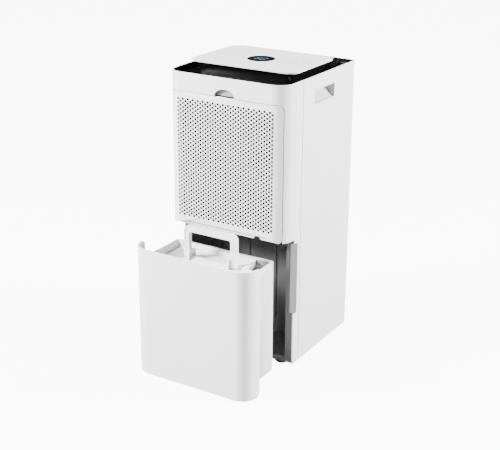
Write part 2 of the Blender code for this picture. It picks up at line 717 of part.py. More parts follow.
def tank_outline(inset=0.0):
    half = TANK_HALF - inset
    return rounded(-half, half, TANK_FRONT + inset, TANK_REAR - inset, TANK_RADIUS - inset)


def make_tank_body():
    body = add("tank_body", prism(tank_outline(), TANK_BOTTOM, TANK_TOP), TANK_WHITE, parent=TANK)
    room = prism(tank_outline(TANK_WALL), TANK_BOTTOM + TANK_WALL, TANK_TOP + TANK_WALL)
    cut(body, room, "room")


def make_tank_lid():
    low = LID_FLOOR_Z - LID_FLOOR
    rest = TANK_TOP + GAP
    high = rest + LID_FLANGE
    lid = add("tank_lid", prism(tank_outline(), rest, high), TANK_WHITE, parent=TANK)
    inset = TANK_WALL + 2 * GAP
    join(lid, prism(tank_outline(inset), low, high - 1 * MM), "pan")
    border = TANK_WALL + LID_BORDER
    cut(lid, prism(tank_outline(border), LID_FLOOR_Z, high + 1 * MM), "tray")
    inlet = ellipse((0, INLET_Y), INLET_LENGTH / 2, INLET_WIDTH / 2)
    cut(lid, prism(inlet, low - 1 * MM, LID_FLOOR_Z + 1 * MM), "inlet")
    ear_x = HANDLE_SPAN / 2 - HANDLE_BAR - GAP
    depth = HANDLE_THICKNESS
    for side, label in ((-1, "left"), (1, "right")):
        ear = [(HANDLE_Y - depth, LID_FLOOR_Z - 1 * MM), (HANDLE_Y + depth, LID_FLOOR_Z - 1 * MM)]
        ear += arc((HANDLE_Y, HANDLE_Z + 3 * MM), depth, 0, 180, CORNER_STEPS)
        inner, outer = sorted((side * (ear_x - EAR_WALL), side * ear_x))
        join(lid, prism(ear, inner, outer, "X"), f"ear_{label}")
        place = (0, HANDLE_Y, HANDLE_Z)
        bore = rod(HANDLE_PIN + PIN_CLEARANCE, inner - 1 * MM, outer + 1 * MM, place, "X")
        cut(lid, bore, f"ear_bore_{label}")
    rib = box(
        -ear_x + EAR_WALL / 2,
        ear_x - EAR_WALL / 2,
        HANDLE_Y - 0.6 * depth,
        HANDLE_Y + 0.6 * depth,
        LID_FLOOR_Z - 0.5 * MM,
        LID_FLOOR_Z + 4 * MM,
    )
    join(lid, rib, "cross_rib")
    inner = FLOAT_LENGTH / 2 + 0.5 * MM
    for side, label in ((-1, "left"), (1, "right")):
        near, far = FLOAT_Y - 5 * MM, FLOAT_Y + 5 * MM
        hanger = box(side * inner, side * (inner + 3 * MM), near, far, FLOAT_Z - 6 * MM, low + 1 * MM)
        join(lid, hanger, f"float_hanger_{label}")


def make_tank_float():
    """Float block on an arm that swings up about a pin between the lid's two hangers."""
    half = FLOAT_LENGTH / 2 - 1 * MM
    place = (0, FLOAT_Y, FLOAT_Z)
    block = add("tank_float", rod(8 * MM, -half, half, place, "X"), FOAM, origin=place, parent=TANK)
    near, far = FLOAT_Y - 46 * MM, FLOAT_Y - 2 * MM
    join(block, box(-half, half, near, far, FLOAT_Z - 32 * MM, FLOAT_Z - 8 * MM), "body")
    half -= 6 * MM
    web = box(-half, half, FLOAT_Y - 3 * MM, FLOAT_Y + 2 * MM, FLOAT_Z - 20 * MM, FLOAT_Z)
    join(block, web, "web")


def make_handle():
    half = HANDLE_SPAN / 2
    bar = HANDLE_BAR
    depth = HANDLE_THICKNESS / 2
    top = HANDLE_Z + HANDLE_REACH
    origin = (0, HANDLE_Y, HANDLE_Z)
    outer = rounded(-half, half, HANDLE_Z, top, 0, 1.1 * bar)
    shape = prism(outer, HANDLE_Y - depth, HANDLE_Y + depth, "Y")
    handle = add("handle", shape, WHITE, origin=origin, parent=TANK)
    foot = rod(HANDLE_THICKNESS - 0.2 * MM, -half, half, origin, "X", 24)
    join(handle, foot, "feet")
    inner = rounded(-half + bar, half - bar, HANDLE_Z - bar, top - bar, 0, 0.5 * bar)
    cut(handle, prism(inner, HANDLE_Y - bar, HANDLE_Y + bar, "Y"), "opening")
    for side, label in ((-1, "left"), (1, "right")):
        low, high = sorted((side * (half - bar - 1 * MM), side * (half - 4 * MM)))
        bore = rod(HANDLE_PIN + PIN_CLEARANCE, low, high, (0, HANDLE_Y, HANDLE_Z), "X")
        cut(handle, bore, f"bore_{label}")
        start, end = sorted((side * (half - bar - EAR_WALL - 3 * MM), side * (half - 5 * MM)))
        pin = rod(HANDLE_PIN, start, end, (0, HANDLE_Y, HANDLE_Z), "X")
        add(f"handle_pin_{label}", pin, STEEL, origin=origin, parent=TANK)


# ---- cold side and air path ----------------------------------------------------------------------
def make_drip_tray():
    half = COIL_HALF + 8 * MM
    near, far = COIL_FRONT - 4 * MM, COIL_FRONT + COIL_DEPTH + 6 * MM
    low = MID_Z + MID_WALL + GAP
    tray = add("drip_tray", box(-half, half, near, far, low, TRAY_TOP), GREY)
    wall = 2 * MM
    half -= wall
    trough = box(-half, half, near + wall, far - wall, low + wall, TRAY_TOP + wall)
    cut(tray, trough, "trough")
    place = (0, SPOUT_Y, low)
    reach = BAY_TOP + 0.5 * MM - low
    join(tray, rod(SPOUT_DIAMETER, reach, 1 * MM, place, "Z", 24), "spout")
    cut(tray, rod(SPOUT_DIAMETER - 2 * wall, reach - 1 * MM, 3 * MM, place, "Z", 24), "spout_bore")


def make_coil(name, near, bottom):
    """Finned block between two end plates, with the return bends of its pipes at both ends."""
    far = near + COIL_DEPTH
    half = COIL_HALF
    fins = half - 2 * MM
    block = box(-fins, fins, near + 1 * MM, far - 1 * MM, bottom, COIL_TOP)
    coil = add(name, block, ALUMINIUM)
    for side, label in ((-1, "left"), (1, "right")):
        inner, outer = side * (half - 2.5 * MM), side * half
        plate = box(inner, outer, near, far, bottom - 0.5 * MM, COIL_TOP + 0.5 * MM)
        join(coil, plate, f"end_plate_{label}")
        pitch = (COIL_TOP - bottom - 30 * MM) / COIL_ROWS
        for i in range(COIL_ROWS):
            z = bottom + 15 * MM + (i + 0.5) * pitch
            bend = box(
                side * (half - 1 * MM),
                side * (half + 8 * MM),
                (near + far) / 2 - PIPE_DIAMETER / 2,
                (near + far) / 2 + PIPE_DIAMETER / 2,
                z - 0.3 * pitch,
                z + 0.3 * pitch,
            )
            join(coil, bend, f"bend_{label}_{i}")


def make_fan():
    """Scroll housing with its inlet in front and its duct rising to the outlet."""
    radius = SCROLL_RADIUS
    duct = [(radius, DUCT_TOP), (-radius, DUCT_TOP)]
    outline = duct + arc((0, FAN_Z), radius, 180, 360, 24)
    scroll = add("fan_scroll", prism(outline, SCROLL_FRONT, SCROLL_BACK, "Y"), GREY)
    wall = LINER_WALL
    inside = radius - wall
    duct = [(inside, DUCT_TOP + wall), (-inside, DUCT_TOP + wall)]
    outline = duct + arc((0, FAN_Z), inside, 180, 360, 24)
    cut(scroll, prism(outline, SCROLL_FRONT + wall, SCROLL_BACK - wall, "Y"), "air_path")
    inlet = rod(0.72 * FAN_DIAMETER, -wall, 2 * wall, (0, SCROLL_FRONT, FAN_Z), "Y")
    cut(scroll, inlet, "inlet")
    hub_y = SCROLL_BACK - wall - FAN_CLEARANCE
    make_fan_wheel(hub_y)
    motor_back = SCROLL_FRONT - 2 * MM
    motor_length = 44 * MM
    r = MOTOR_DIAMETER / 2
    shaft = SHAFT_DIAMETER / 2
    profile = [
        (0, -motor_length),
        (0.6 * r, -motor_length),
        (r, -motor_length + 6 * MM),
        (r, -6 * MM),
        (0.5 * r, 0),
        (shaft, 0),
        (shaft, hub_y - motor_back - 6 * MM),
        (0, hub_y - motor_back - 6 * MM),
    ]
    place = (0, motor_back, FAN_Z)
    add("fan_motor", turned(profile, place, "Y"), STEEL, origin=place)
    middle = motor_back - motor_length / 2
    ring = ellipse((0, FAN_Z), r + 6 * MM, r + 6 * MM)
    bracket = add("motor_bracket", prism(ring, middle - 4 * MM, middle + 4 * MM, "Y"), STEEL)
    end = SCROLL_RADIUS - 6 * MM
    for i in range(3):
        turn = math.radians(90 + 120 * i)
        arm = box(r + 3 * MM, end, middle - 3 * MM, middle + 3 * MM, -6 * MM, 6 * MM)
        foot = box(end - 6 * MM, end + 1 * MM, middle - 2 * MM, SCROLL_FRONT - GAP, -5 * MM, 5 * MM)
        for shape, label in ((arm, "arm"), (foot, "foot")):
            matrix = Matrix.Translation((0, 0, FAN_Z)) @ Matrix.Rotation(-turn, 4, "Y")
            bmesh.ops.transform(shape, matrix=matrix, verts=shape.verts)
            join(bracket, shape, f"{label}_{i}")
    hole = rod(MOTOR_DIAMETER + 2 * GAP, -9 * MM, 9 * MM, (0, middle, FAN_Z), "Y", ROUND_STEPS)
    cut(bracket, hole, "motor_hole")


def make_fan_wheel(back_y):
    """Centrifugal wheel: a hub and a back plate, with a blade forward on every second sector."""
    sectors = 48
    plate = 3 * MM
    hub = 13 * MM
    heights = {"hub": 15 * MM, "plate": plate, "blade": FAN_WIDTH}
    radii = (SHAFT_DIAMETER / 2 + GAP, hub, 0.4 * FAN_DIAMETER, FAN_DIAMETER / 2)
    profile = [(radii[0], 0), (radii[3], 0), (radii[3], -plate), (hub, -plate)]
    profile += [(hub, -heights["hub"]), (radii[0], -heights["hub"]), (radii[0], 0)]
    shape = bmesh.new()
    ring = [shape.verts.new((radius, y, 0)) for radius, y in profile[:-1]]
    edges = [shape.edges.new(pair) for pair in zip(ring, ring[1:] + ring[:1])]
    bmesh.ops.spin(
        shape,
        geom=ring + edges,
        cent=(0, 0, 0),
        axis=(0, 1, 0),
        angle=2 * math.pi,
        steps=sectors,
        use_merge=True,
    )
    bmesh.ops.remove_doubles(shape, verts=shape.verts, dist=0.01 * MM)
    bmesh.ops.translate(shape, verts=shape.verts, vec=(0, back_y, FAN_Z))
    wheel = add("fan_wheel", shape, GREY, origin=(0, back_y, FAN_Z))
    half_turn = math.pi / sectors
    inner, outer = radii[2], radii[3] - 1 * MM
    blades = bmesh.new()
    for i in range(sectors // 2):
        turn = 4 * half_turn * i
        spots = [(inner, turn), (outer, turn), (outer, turn + half_turn), (inner, turn + half_turn)]
        verts = [blades.verts.new((r * math.cos(t), 0, r * math.sin(t))) for r, t in spots]
        blades.faces.new(verts)
    raised = bmesh.ops.extrude_face_region(blades, geom=blades.faces[:])["geom"]
    moved = [item for item in raised if isinstance(item, bmesh.types.BMVert)]
    bmesh.ops.translate(blades, verts=moved, vec=(0, plate / 2 - FAN_WIDTH, 0))
    bmesh.ops.translate(blades, verts=blades.verts, vec=(0, back_y - plate / 2, FAN_Z))
    join(wheel, blades, "blades")


# ---- compressor and pipes ------------------------------------------------------------------------
def mount_places():
    reach = COMPRESSOR_DIAMETER / 2 + 4 * MM
    turns = [math.radians(90 + 120 * i) for i in range(3)]
    return [
        (COMPRESSOR_X + reach * math.cos(t), COMPRESSOR_Y + 0.86 * reach * math.sin(t)) for t in turns
    ]


def make_compressor():
    r = COMPRESSOR_DIAMETER / 2
    h = COMPRESSOR_HEIGHT
    profile = [(0, 2 * MM), (0.7 * r, 4 * MM), (0.94 * r, 0.06 * h), (r, 0.12 * h), (r, 0.5 * h)]
    profile += [(0.97 * r, 0.52 * h), (0.97 * r, 0.85 * h), (0.8 * r, 0.96 * h), (0, h)]
    place = (COMPRESSOR_X, COMPRESSOR_Y, COMPRESSOR_Z)
    body = add("compressor", turned(profile, place), ENAMEL)
    outline = []
    for x, y in mount_places():
        turn = math.degrees(math.atan2(y - COMPRESSOR_Y, x - COMPRESSOR_X))
        outline += arc((x, y), 12 * MM, turn - 60, turn + 60, 4)
    join(body, prism(outline, COMPRESSOR_Z, COMPRESSOR_Z + 4.5 * MM), "base_plate")
    for i, (x, y) in enumerate(mount_places()):
        cut(body, rod(8 * MM, -9 * MM, 9 * MM, (x, y, COMPRESSOR_Z), "Z", 12), f"mount_hole_{i}")
    for side, label in ((1, "stub_suction"), (-1, "stub_discharge")):
        place = (COMPRESSOR_X + side * STUB_SPREAD, COMPRESSOR_Y, COMPRESSOR_Z + h)
        join(body, rod(PIPE_DIAMETER + 3 * MM, -26 * MM, 8 * MM, place, "Z", 12), label)


def make_mounts():
    top = COMPRESSOR_Z - GAP
    low = FLOOR_Z + PAN_WALL + 0.8 * MM + GAP
    height = top - low
    for i, (x, y) in enumerate(mount_places()):
        profile = [(0, 0), (8 * MM, 0), (9.5 * MM, 2 * MM), (7 * MM, height / 2)]
        profile += [(9.5 * MM, height - 2 * MM), (8 * MM, height), (3.2 * MM, height)]
        profile += [(3.2 * MM, height + 9 * MM), (0, height + 9 * MM)]
        add(f"compressor_mount_{i + 1}", turned(profile, (x, y, low), "Z", 16), RUBBER)


def lowest_bend(bottom):
    """Underside of a coil's lowest return bend, where its pipe goes in."""
    return bottom + 15 * MM + 0.2 * (COIL_TOP - bottom - 30 * MM) / COIL_ROWS


def make_pipes():
    """Pipes from the compressor's stubs, up beside the coils and into their lowest bends."""
    start = COMPRESSOR_Z + COMPRESSOR_HEIGHT + 8 * MM + GAP
    evaporator_y = COIL_FRONT + COIL_DEPTH / 2
    condenser_y = COIL_FRONT + 1.5 * COIL_DEPTH + COIL_GAP
    ends = (
        ("suction_pipe", 1, evaporator_y, COIL_BOTTOM),
        ("discharge_pipe", -1, condenser_y, CONDENSER_BOTTOM),
    )
    for name, side, coil_y, coil_bottom in ends:
        stub_x, stub_y = COMPRESSOR_X + side * STUB_SPREAD, COMPRESSOR_Y
        side_x, hole_y = side * PIPE_SIDE, PIPE_HOLE_Y
        entry = lowest_bend(coil_bottom) - GAP
        run = TRAY_TOP + PIPE_DIAMETER / 2 + 1 * MM
        turn = (entry + run) / 2
        route = [(stub_x, stub_y, start + step) for step in (0, 8 * MM, 16 * MM)]
        route += [
            (stub_x + 0.5 * (side_x - stub_x), (stub_y + hole_y) / 2, MID_Z - 30 * MM),
            (side_x, hole_y, MID_Z - 14 * MM),
            (side_x, hole_y, MID_Z),
            (side_x, hole_y - 4 * MM, run - 4 * MM),
            (side_x, hole_y - 16 * MM, run),
            (side_x, coil_y + 16 * MM, run),
            (side_x, coil_y + 4 * MM, turn - 2 * MM),
            (side_x, coil_y, entry - 5 * MM),
            (side_x, coil_y, entry - 2 * MM),
            (side_x, coil_y, entry),
        ]
        tube(name, route, PIPE_DIAMETER, COPPER)
    drier = [(0, 0), (2 * MM, 0), (3 * MM, 8 * MM), (9 * MM, 16 * MM)]
    drier += [(9 * MM, 76 * MM), (3 * MM, 84 * MM), (2 * MM, 92 * MM), (0, 92 * MM)]
    behind = COIL_FRONT + 2 * COIL_DEPTH + COIL_GAP + 16 * MM
    place = (DRIER_INSET - HALF_W, behind, MID_Z + MID_WALL + 20 * MM)
    add("filter_drier", turned(drier, place, "Z", 16), COPPER, origin=place)


# ---- electrics and small parts -------------------------------------------------------------------
def make_electrics():
    low = MID_Z + MID_WALL + GAP
    near = COIL_FRONT + 2 * COIL_DEPTH + COIL_GAP + 58 * MM
    outer = INNER_HALF - 4 * MM
    case = box(outer - 42 * MM, outer, near, near + 36 * MM, low, low + 120 * MM)
    add("electronics_box", case, GREY)
    place = (-outer + 48 * MM, near + 10 * MM, low)
    profile = [(0, 0), (19 * MM, 0), (19 * MM, 66 * MM), (6 * MM, 70 * MM), (0, 70 * MM)]
    add("run_capacitor", turned(profile, place, "Z", 24), ALUMINIUM, origin=place)
    back = BAY_BACK + LINER_WALL
    pivot = (SWITCH_X, back + 8 * MM, SWITCH_Z)
    near, far = pivot[1] - 3 * MM, pivot[1] + 3 * MM
    arm = box(SWITCH_X - 3 * MM, SWITCH_X + 3 * MM, near, far, SWITCH_Z - 32 * MM, SWITCH_Z + 3 * MM)
    lever = add("bucket_switch_lever", arm, BLACK, origin=pivot)
    half = 2.5 * MM
    near, far = BAY_BACK - 6 * MM, pivot[1] + 1 * MM
    nose = box(SWITCH_X - half, SWITCH_X + half, near, far, SWITCH_Z - 31 * MM, SWITCH_Z - 21 * MM)
    join(lever, nose, "nose")
    half = 10 * MM
    near, far = pivot[1] - 6 * MM, pivot[1] + 14 * MM
    case = box(SWITCH_X - half, SWITCH_X + half, near, far, SWITCH_Z - 6 * MM, SWITCH_Z + 10 * MM)
    switch = add("bucket_switch", case, BLACK)
    half = 3.5 * MM
    near, far = pivot[1] - 7 * MM, pivot[1] + 10 * MM
    slot = box(SWITCH_X - half, SWITCH_X + half, near, far, SWITCH_Z - 7 * MM, SWITCH_Z + 5 * MM)
    cut(switch, slot, "lever_slot")


def make_rear_fittings():
    r = DRAIN_DIAMETER / 2
    wall = 2 * MM
    port = [
        (0, -30 * MM),
        (r, -30 * MM),
        (r, -WALL - 4 * MM),
        (r + 6 * MM, -WALL - 4 * MM),
        (r + 6 * MM, -WALL - GAP),
        (r, -WALL - GAP),
        (r, 0),
        (0, 0),
    ]
    drain = add("drain_port", turned(port, DRAIN, "Y", 24), GREY)
    cut(drain, rod(DRAIN_DIAMETER - 2 * wall, -31 * MM, 1 * MM, DRAIN, "Y", 24), "bore")
    cap = [(0, GAP), (r + 3 * MM, GAP), (r + 3 * MM, CAP_PROUD - 1 * MM)]
    cap += [(r + 2 * MM, CAP_PROUD), (0, CAP_PROUD)]
    body = add("drain_cap", turned(cap, DRAIN, "Y", 24), RUBBER, origin=DRAIN)
    plug = rod(DRAIN_DIAMETER - 2 * wall - 2 * GAP, -10 * MM, 1 * MM, DRAIN, "Y", 24)
    join(body, plug, "plug")
    r = GLAND_DIAMETER / 2
    gland = [
        (0, -12 * MM),
        (r - 1 * MM, -12 * MM),
        (r - 1 * MM, -WALL - 5 * MM),
        (r + 4 * MM, -WALL - 5 * MM),
        (r + 4 * MM, -WALL - GAP),
        (r - GAP, -WALL - GAP),
        (r - GAP, 1 * MM),
        (0, 1 * MM),
    ]
    fitting = add("cord_gland", turned(gland, GLAND, "Y", 24), RUBBER)
    cut(fitting, rod(8 * MM, -13 * MM, 2 * MM, GLAND, "Y", 16), "cord_hole")
    head = [(0, 0), (3.5 * MM, 0), (3 * MM, 1.2 * MM), (0, 1.6 * MM)]
    inset = HALF_W - 24 * MM
    for z, level in ((RIM_Z - 30 * MM, "top"), (60 * MM, "low")):
        for x, label in ((-inset, "left"), (inset, "right")):
            screw = turned(head, (x, BACK_Y + GAP, z), "Y", 16)
            add(f"rear_screw_{level}_{label}", screw, STEEL)


make_front_shell()
make_rear_shell()
make_carry_cup(-1, "carry_cup_left")
make_carry_cup(1, "carry_cup_right")
make_base_pan()
make_feet()
make_bay_liner()
make_mid_plate()
make_top_tray()
make_outlet_louvre()
make_control_panel()
make_control_board()
make_grille()
make_tank_cover()
make_tank_body()
make_tank_lid()
make_tank_float()
make_handle()
make_drip_tray()
make_coil("evaporator", COIL_FRONT, COIL_BOTTOM)
make_coil("condenser", COIL_FRONT + COIL_DEPTH + COIL_GAP, CONDENSER_BOTTOM)
make_fan()
make_compressor()
make_mounts()
make_pipes()
make_electrics()
make_rear_fittings()
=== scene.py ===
"""Portable compressor dehumidifier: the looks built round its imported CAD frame.

The machine stands on the floor with its grille to the front and its water tank drawn out. Each
section makes one piece, or one group of like pieces, in the order the machine is put together.
"""

import math
import bmesh
import bpy
from mathutils import Matrix, Vector


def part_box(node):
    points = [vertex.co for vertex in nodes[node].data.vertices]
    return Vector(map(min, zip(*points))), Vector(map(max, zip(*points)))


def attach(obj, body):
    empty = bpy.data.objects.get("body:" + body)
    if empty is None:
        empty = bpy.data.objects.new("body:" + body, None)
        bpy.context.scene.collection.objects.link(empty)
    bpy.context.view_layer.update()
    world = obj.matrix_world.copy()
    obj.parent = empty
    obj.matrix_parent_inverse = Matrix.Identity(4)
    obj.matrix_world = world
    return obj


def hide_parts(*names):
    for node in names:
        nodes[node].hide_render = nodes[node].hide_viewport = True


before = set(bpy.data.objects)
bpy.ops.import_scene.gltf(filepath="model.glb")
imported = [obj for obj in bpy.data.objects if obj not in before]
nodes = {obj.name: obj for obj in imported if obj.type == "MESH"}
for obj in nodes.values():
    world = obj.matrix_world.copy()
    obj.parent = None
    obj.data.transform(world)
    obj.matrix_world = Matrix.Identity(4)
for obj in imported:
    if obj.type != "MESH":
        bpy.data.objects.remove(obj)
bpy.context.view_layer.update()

scene = bpy.context.scene

# ---- camera --------------------------------------------------------------------------------------
# A short telephoto lens stands to the front right, above the top panel, and looks down along the
# side of the casing. The roll and the small shift only frame the machine.
LENS = 77.55
STAND = Vector((1.1041, -1.7972, 1.0813))
YAW, PITCH, ROLL = 0.5359, 0.3435, 0.0100
SENSOR_WIDTH = 36
SHIFT_X, SHIFT_Y = -0.024, -0.04
NEAREST, FARTHEST = 0.05, 60
across = Vector((math.cos(YAW), math.sin(YAW), 0))
ahead = Vector(
    (-math.sin(YAW) * math.cos(PITCH), math.cos(YAW) * math.cos(PITCH), -math.sin(PITCH))
)
upward = across.cross(ahead)
rolled = across * math.cos(ROLL) + upward * math.sin(ROLL)
upright = rolled.cross(ahead)
camera = bpy.data.objects.new("camera", bpy.data.cameras.new("camera"))
camera.data.lens = LENS
camera.data.sensor_width = SENSOR_WIDTH
camera.data.shift_x, camera.data.shift_y = SHIFT_X, SHIFT_Y
camera.data.clip_start, camera.data.clip_end = NEAREST, FARTHEST
aim = Matrix((rolled, upright, -ahead)).transposed().to_4x4()
camera.matrix_world = Matrix.Translation(STAND) @ aim
scene.collection.objects.link(camera)
scene.camera = camera


# ---- studio --------------------------------------------------------------------------------------
# Seamless floor that looks white to the camera, a pale room that is brighter to the front and
# above, a softbox at the front left, a second one behind on the right and a weak one overhead.
FLOOR_TONE, FLOOR_HALF, FLOOR_GLOW = 0.35, 12, 9.0
ROOM_BRIGHT_SIDE = (0.35, -0.75, 0.55)
ROOM_FADE = (-0.6, 0.8)
ROOM_STRENGTH = (0.02, 0.22)


def plain(name, colour, roughness, metallic=0.0):
    """A material with one Principled shader, and the tree and shader to build on."""
    made = bpy.data.materials.new(name)
    made.use_nodes = True
    tree = made.node_tree
    shader = tree.nodes["Principled BSDF"]
    shader.inputs["Base Color"].default_value = (*colour, 1)
    shader.inputs["Roughness"].default_value = roughness
    shader.inputs["Metallic"].default_value = metallic
    return made, tree, shader


floor_paint, _, floor_shader = plain("studio_floor", (FLOOR_TONE, FLOOR_TONE, FLOOR_TONE), 0.9)
floor_shader.inputs["Specular IOR Level"].default_value = 0.1
floor_shader.inputs["Emission Color"].default_value = (1.0, 1.0, 1.0, 1)
seen = floor_paint.node_tree.nodes.new("ShaderNodeLightPath")
lift = floor_paint.node_tree.nodes.new("ShaderNodeMath")
lift.operation = "MULTIPLY"
lift.inputs[1].default_value = FLOOR_GLOW
floor_paint.node_tree.links.new(seen.outputs["Is Camera Ray"], lift.inputs[0])
floor_paint.node_tree.links.new(lift.outputs["Value"], floor_shader.inputs["Emission Strength"])
floor_shape = bmesh.new()
bmesh.ops.create_grid(floor_shape, x_segments=1, y_segments=1, size=FLOOR_HALF)
floor_mesh = bpy.data.meshes.new("studio_floor")
floor_shape.to_mesh(floor_mesh)
floor_shape.free()
floor_mesh.materials.append(floor_paint)
studio_floor = bpy.data.objects.new("studio_floor", floor_mesh)
scene.collection.objects.link(studio_floor)

room = bpy.data.worlds.new("pale_room")
room.use_nodes = True
walls = room.node_tree.nodes
backdrop = walls["Background"]
backdrop.inputs["Color"].default_value = (1.0, 1.0, 1.0, 1)
heading = walls.new("ShaderNodeTexCoord")
facing = walls.new("ShaderNodeVectorMath")
facing.operation = "DOT_PRODUCT"
facing.inputs[1].default_value = ROOM_BRIGHT_SIDE
fade = walls.new("ShaderNodeMapRange")
for span, ends in (("From", ROOM_FADE), ("To", ROOM_STRENGTH)):
    fade.inputs[f"{span} Min"].default_value = ends[0]
    fade.inputs[f"{span} Max"].default_value = ends[1]
room.node_tree.links.new(heading.outputs["Generated"], facing.inputs[0])
room.node_tree.links.new(facing.outputs["Value"], fade.inputs["Value"])
room.node_tree.links.new(fade.outputs["Result"], backdrop.inputs["Strength"])
scene.world = room


def softbox(name, place, target_height, width, power):
    """Square area light that looks at the machine's upright axis."""
    light = bpy.data.lights.new(name, "AREA")
    light.shape = "SQUARE"
    light.size = width
    light.energy = power
    made = bpy.data.objects.new(name, light)
    made.location = place
    beam = Vector((0, 0, target_height)) - Vector(place)
    made.rotation_euler = beam.to_track_quat("-Z", "Y").to_euler()
    scene.collection.objects.link(made)


softbox("key_softbox", (-1.9, -2.0, 1.9), target_height=0.3, width=0.8, power=560)
softbox("side_softbox", (2.6, 1.3, 1.7), target_height=0.3, width=0.8, power=480)
softbox("top_softbox", (0.1, 0.5, 2.9), target_height=0.5, width=1.2, power=40)


# ---- front moulding ------------------------------------------------------------------------------
# The front of the casing is one injection-moulded U of white ABS, 2.5 mm thick, with the grille's
# window, the finger cup above it and the frame round the tank bay. It meets the rear moulding
# along a fine seam on both sides.
MM = 0.001
WALL = 2.5 * MM
FRONT_RADIUS = 34 * MM
EDGE = 0.7 * MM
SHARP = math.radians(32)
FRAME_SETBACK, FRAME_SIDE, FRAME_DROP = 45 * MM, 18.5 * MM, 3 * MM
SCOOP_DROP, SCOOP_TALL, SCOOP_WIDE, SCOOP_DEEP = 10 * MM, 154 * MM, 13 * MM, 15 * MM
SCOOP_FOOT_RADIUS = 7 * MM
WINDOW_GAP, WINDOW_RADIUS = 1 * MM, 11 * MM
LATCH_HALF, LATCH_HEIGHT, LATCH_DEPTH = 26 * MM, 17 * MM, 8 * MM
CUP_BACK, CUP_LENGTH = 15 * MM, 30 * MM
SEAM_WIDE, SEAM_DEEP = 1.4 * MM, 1.6 * MM


def slab(x, y, z):
    """Closed block between two x, two y and two z values."""
    shape = bmesh.new()
    pairs = [sorted(x), sorted(y), sorted(z)]
    middle = Vector([(low + high) / 2 for low, high in pairs])
    size = Vector([high - low for low, high in pairs])
    place = Matrix.Translation(middle) @ Matrix.Diagonal((*size, 1))
    bmesh.ops.create_cube(shape, size=1, matrix=place)
    return shape


def round_off(shape, radius, steps, chosen):
    """Rounds the edges for which `chosen` says yes, given the edge's middle and direction."""
    picked = []
    for edge in shape.edges:
        a, b = (vert.co for vert in edge.verts)
        if chosen((a + b) / 2, (b - a).normalized()):
            picked.append(edge)
    bmesh.ops.bevel(
        shape,
        geom=picked,
        offset=radius,
        segments=steps,
        profile=0.5,
        affect="EDGES",
        material=-1,
        clamp_overlap=True,
    )
    return shape


def u_wall(half, closed_end, open_end, z, radius, wall, steps=20):
    """Upright wall round one end and both sides of a rectangle, open at the other end."""
    shape = slab((-half, half), (closed_end, open_end), z)
    turn = lambda at, along: abs(along.z) > 0.9 and abs(at.y - closed_end) < 0.1 * MM
    round_off(shape, radius, steps, turn)
    ends = [face for face in shape.faces if abs(face.normal.z) > 0.9]
    ends += [face for face in shape.faces if abs(face.calc_center_median().y - open_end) < 0.1 * MM]
    bmesh.ops.delete(shape, geom=ends, context="FACES")
    bmesh.ops.recalc_face_normals(shape, faces=shape.faces)
    outward = max(shape.faces, key=lambda face: face.calc_center_median().x)
    inward = -1 if outward.normal.x < 0 else 1
    bmesh.ops.solidify(shape, geom=shape.faces[:], thickness=inward * wall)
    bmesh.ops.recalc_face_normals(shape, faces=shape.faces)
    return shape


def as_piece(name, shape, finish, body, edge=0.0, steps=3, keep_flat=False):
    """Makes a mesh object from a bmesh, rounds its sharp edges by `edge` and rides it on a body."""
    mesh = bpy.data.meshes.new(name)
    shape.to_mesh(mesh)
    shape.free()
    mesh.materials.append(finish)
    made = bpy.data.objects.new(name, mesh)
    scene.collection.objects.link(made)
    if not keep_flat:
        mesh.shade_smooth()
    if edge:
        ease = made.modifiers.new("eased_edges", "BEVEL")
        ease.width = edge
        ease.segments = steps
        ease.limit_method = "ANGLE"
        ease.angle_limit = SHARP
        ease.harden_normals = True
    elif not keep_flat:
        mesh.set_sharp_from_angle(angle=SHARP)
    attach(made, body)
    return made


def carve(piece, shape, operation="DIFFERENCE"):
    """Cuts `shape` out of a piece's mesh, or joins it on, and leaves no helper behind."""
    bmesh.ops.recalc_face_normals(shape, faces=shape.faces)
    mesh = bpy.data.meshes.new("tool")
    shape.to_mesh(mesh)
    shape.free()
    tool = bpy.data.objects.new("tool", mesh)
    scene.collection.objects.link(tool)
    live = [modifier for modifier in piece.modifiers if modifier.show_viewport]
    for modifier in live:
        modifier.show_viewport = False
    carving = piece.modifiers.new("carving", "BOOLEAN")
    carving.operation = operation
    carving.solver = "EXACT"
    carving.object = tool
    graph = bpy.context.evaluated_depsgraph_get()
    carved = bpy.data.meshes.new_from_object(piece.evaluated_get(graph))
    piece.modifiers.remove(carving)
    for modifier in live:
        modifier.show_viewport = True
    before = piece.data
    carved.name = before.name
    piece.data = carved
    bpy.data.meshes.remove(before)
    bpy.data.objects.remove(tool)
    bpy.data.meshes.remove(mesh)


def paint_shade_on_faces(piece, finish, low, high):
    """Gives the faces between two corners a second finish, a darker tone that paints shade into a
    recess.
    """
    piece.data.materials.append(finish)
    last = len(piece.data.materials) - 1
    for face in piece.data.polygons:
        if all(a <= value <= b for a, value, b in zip(low, face.center, high)):
            face.material_index = last


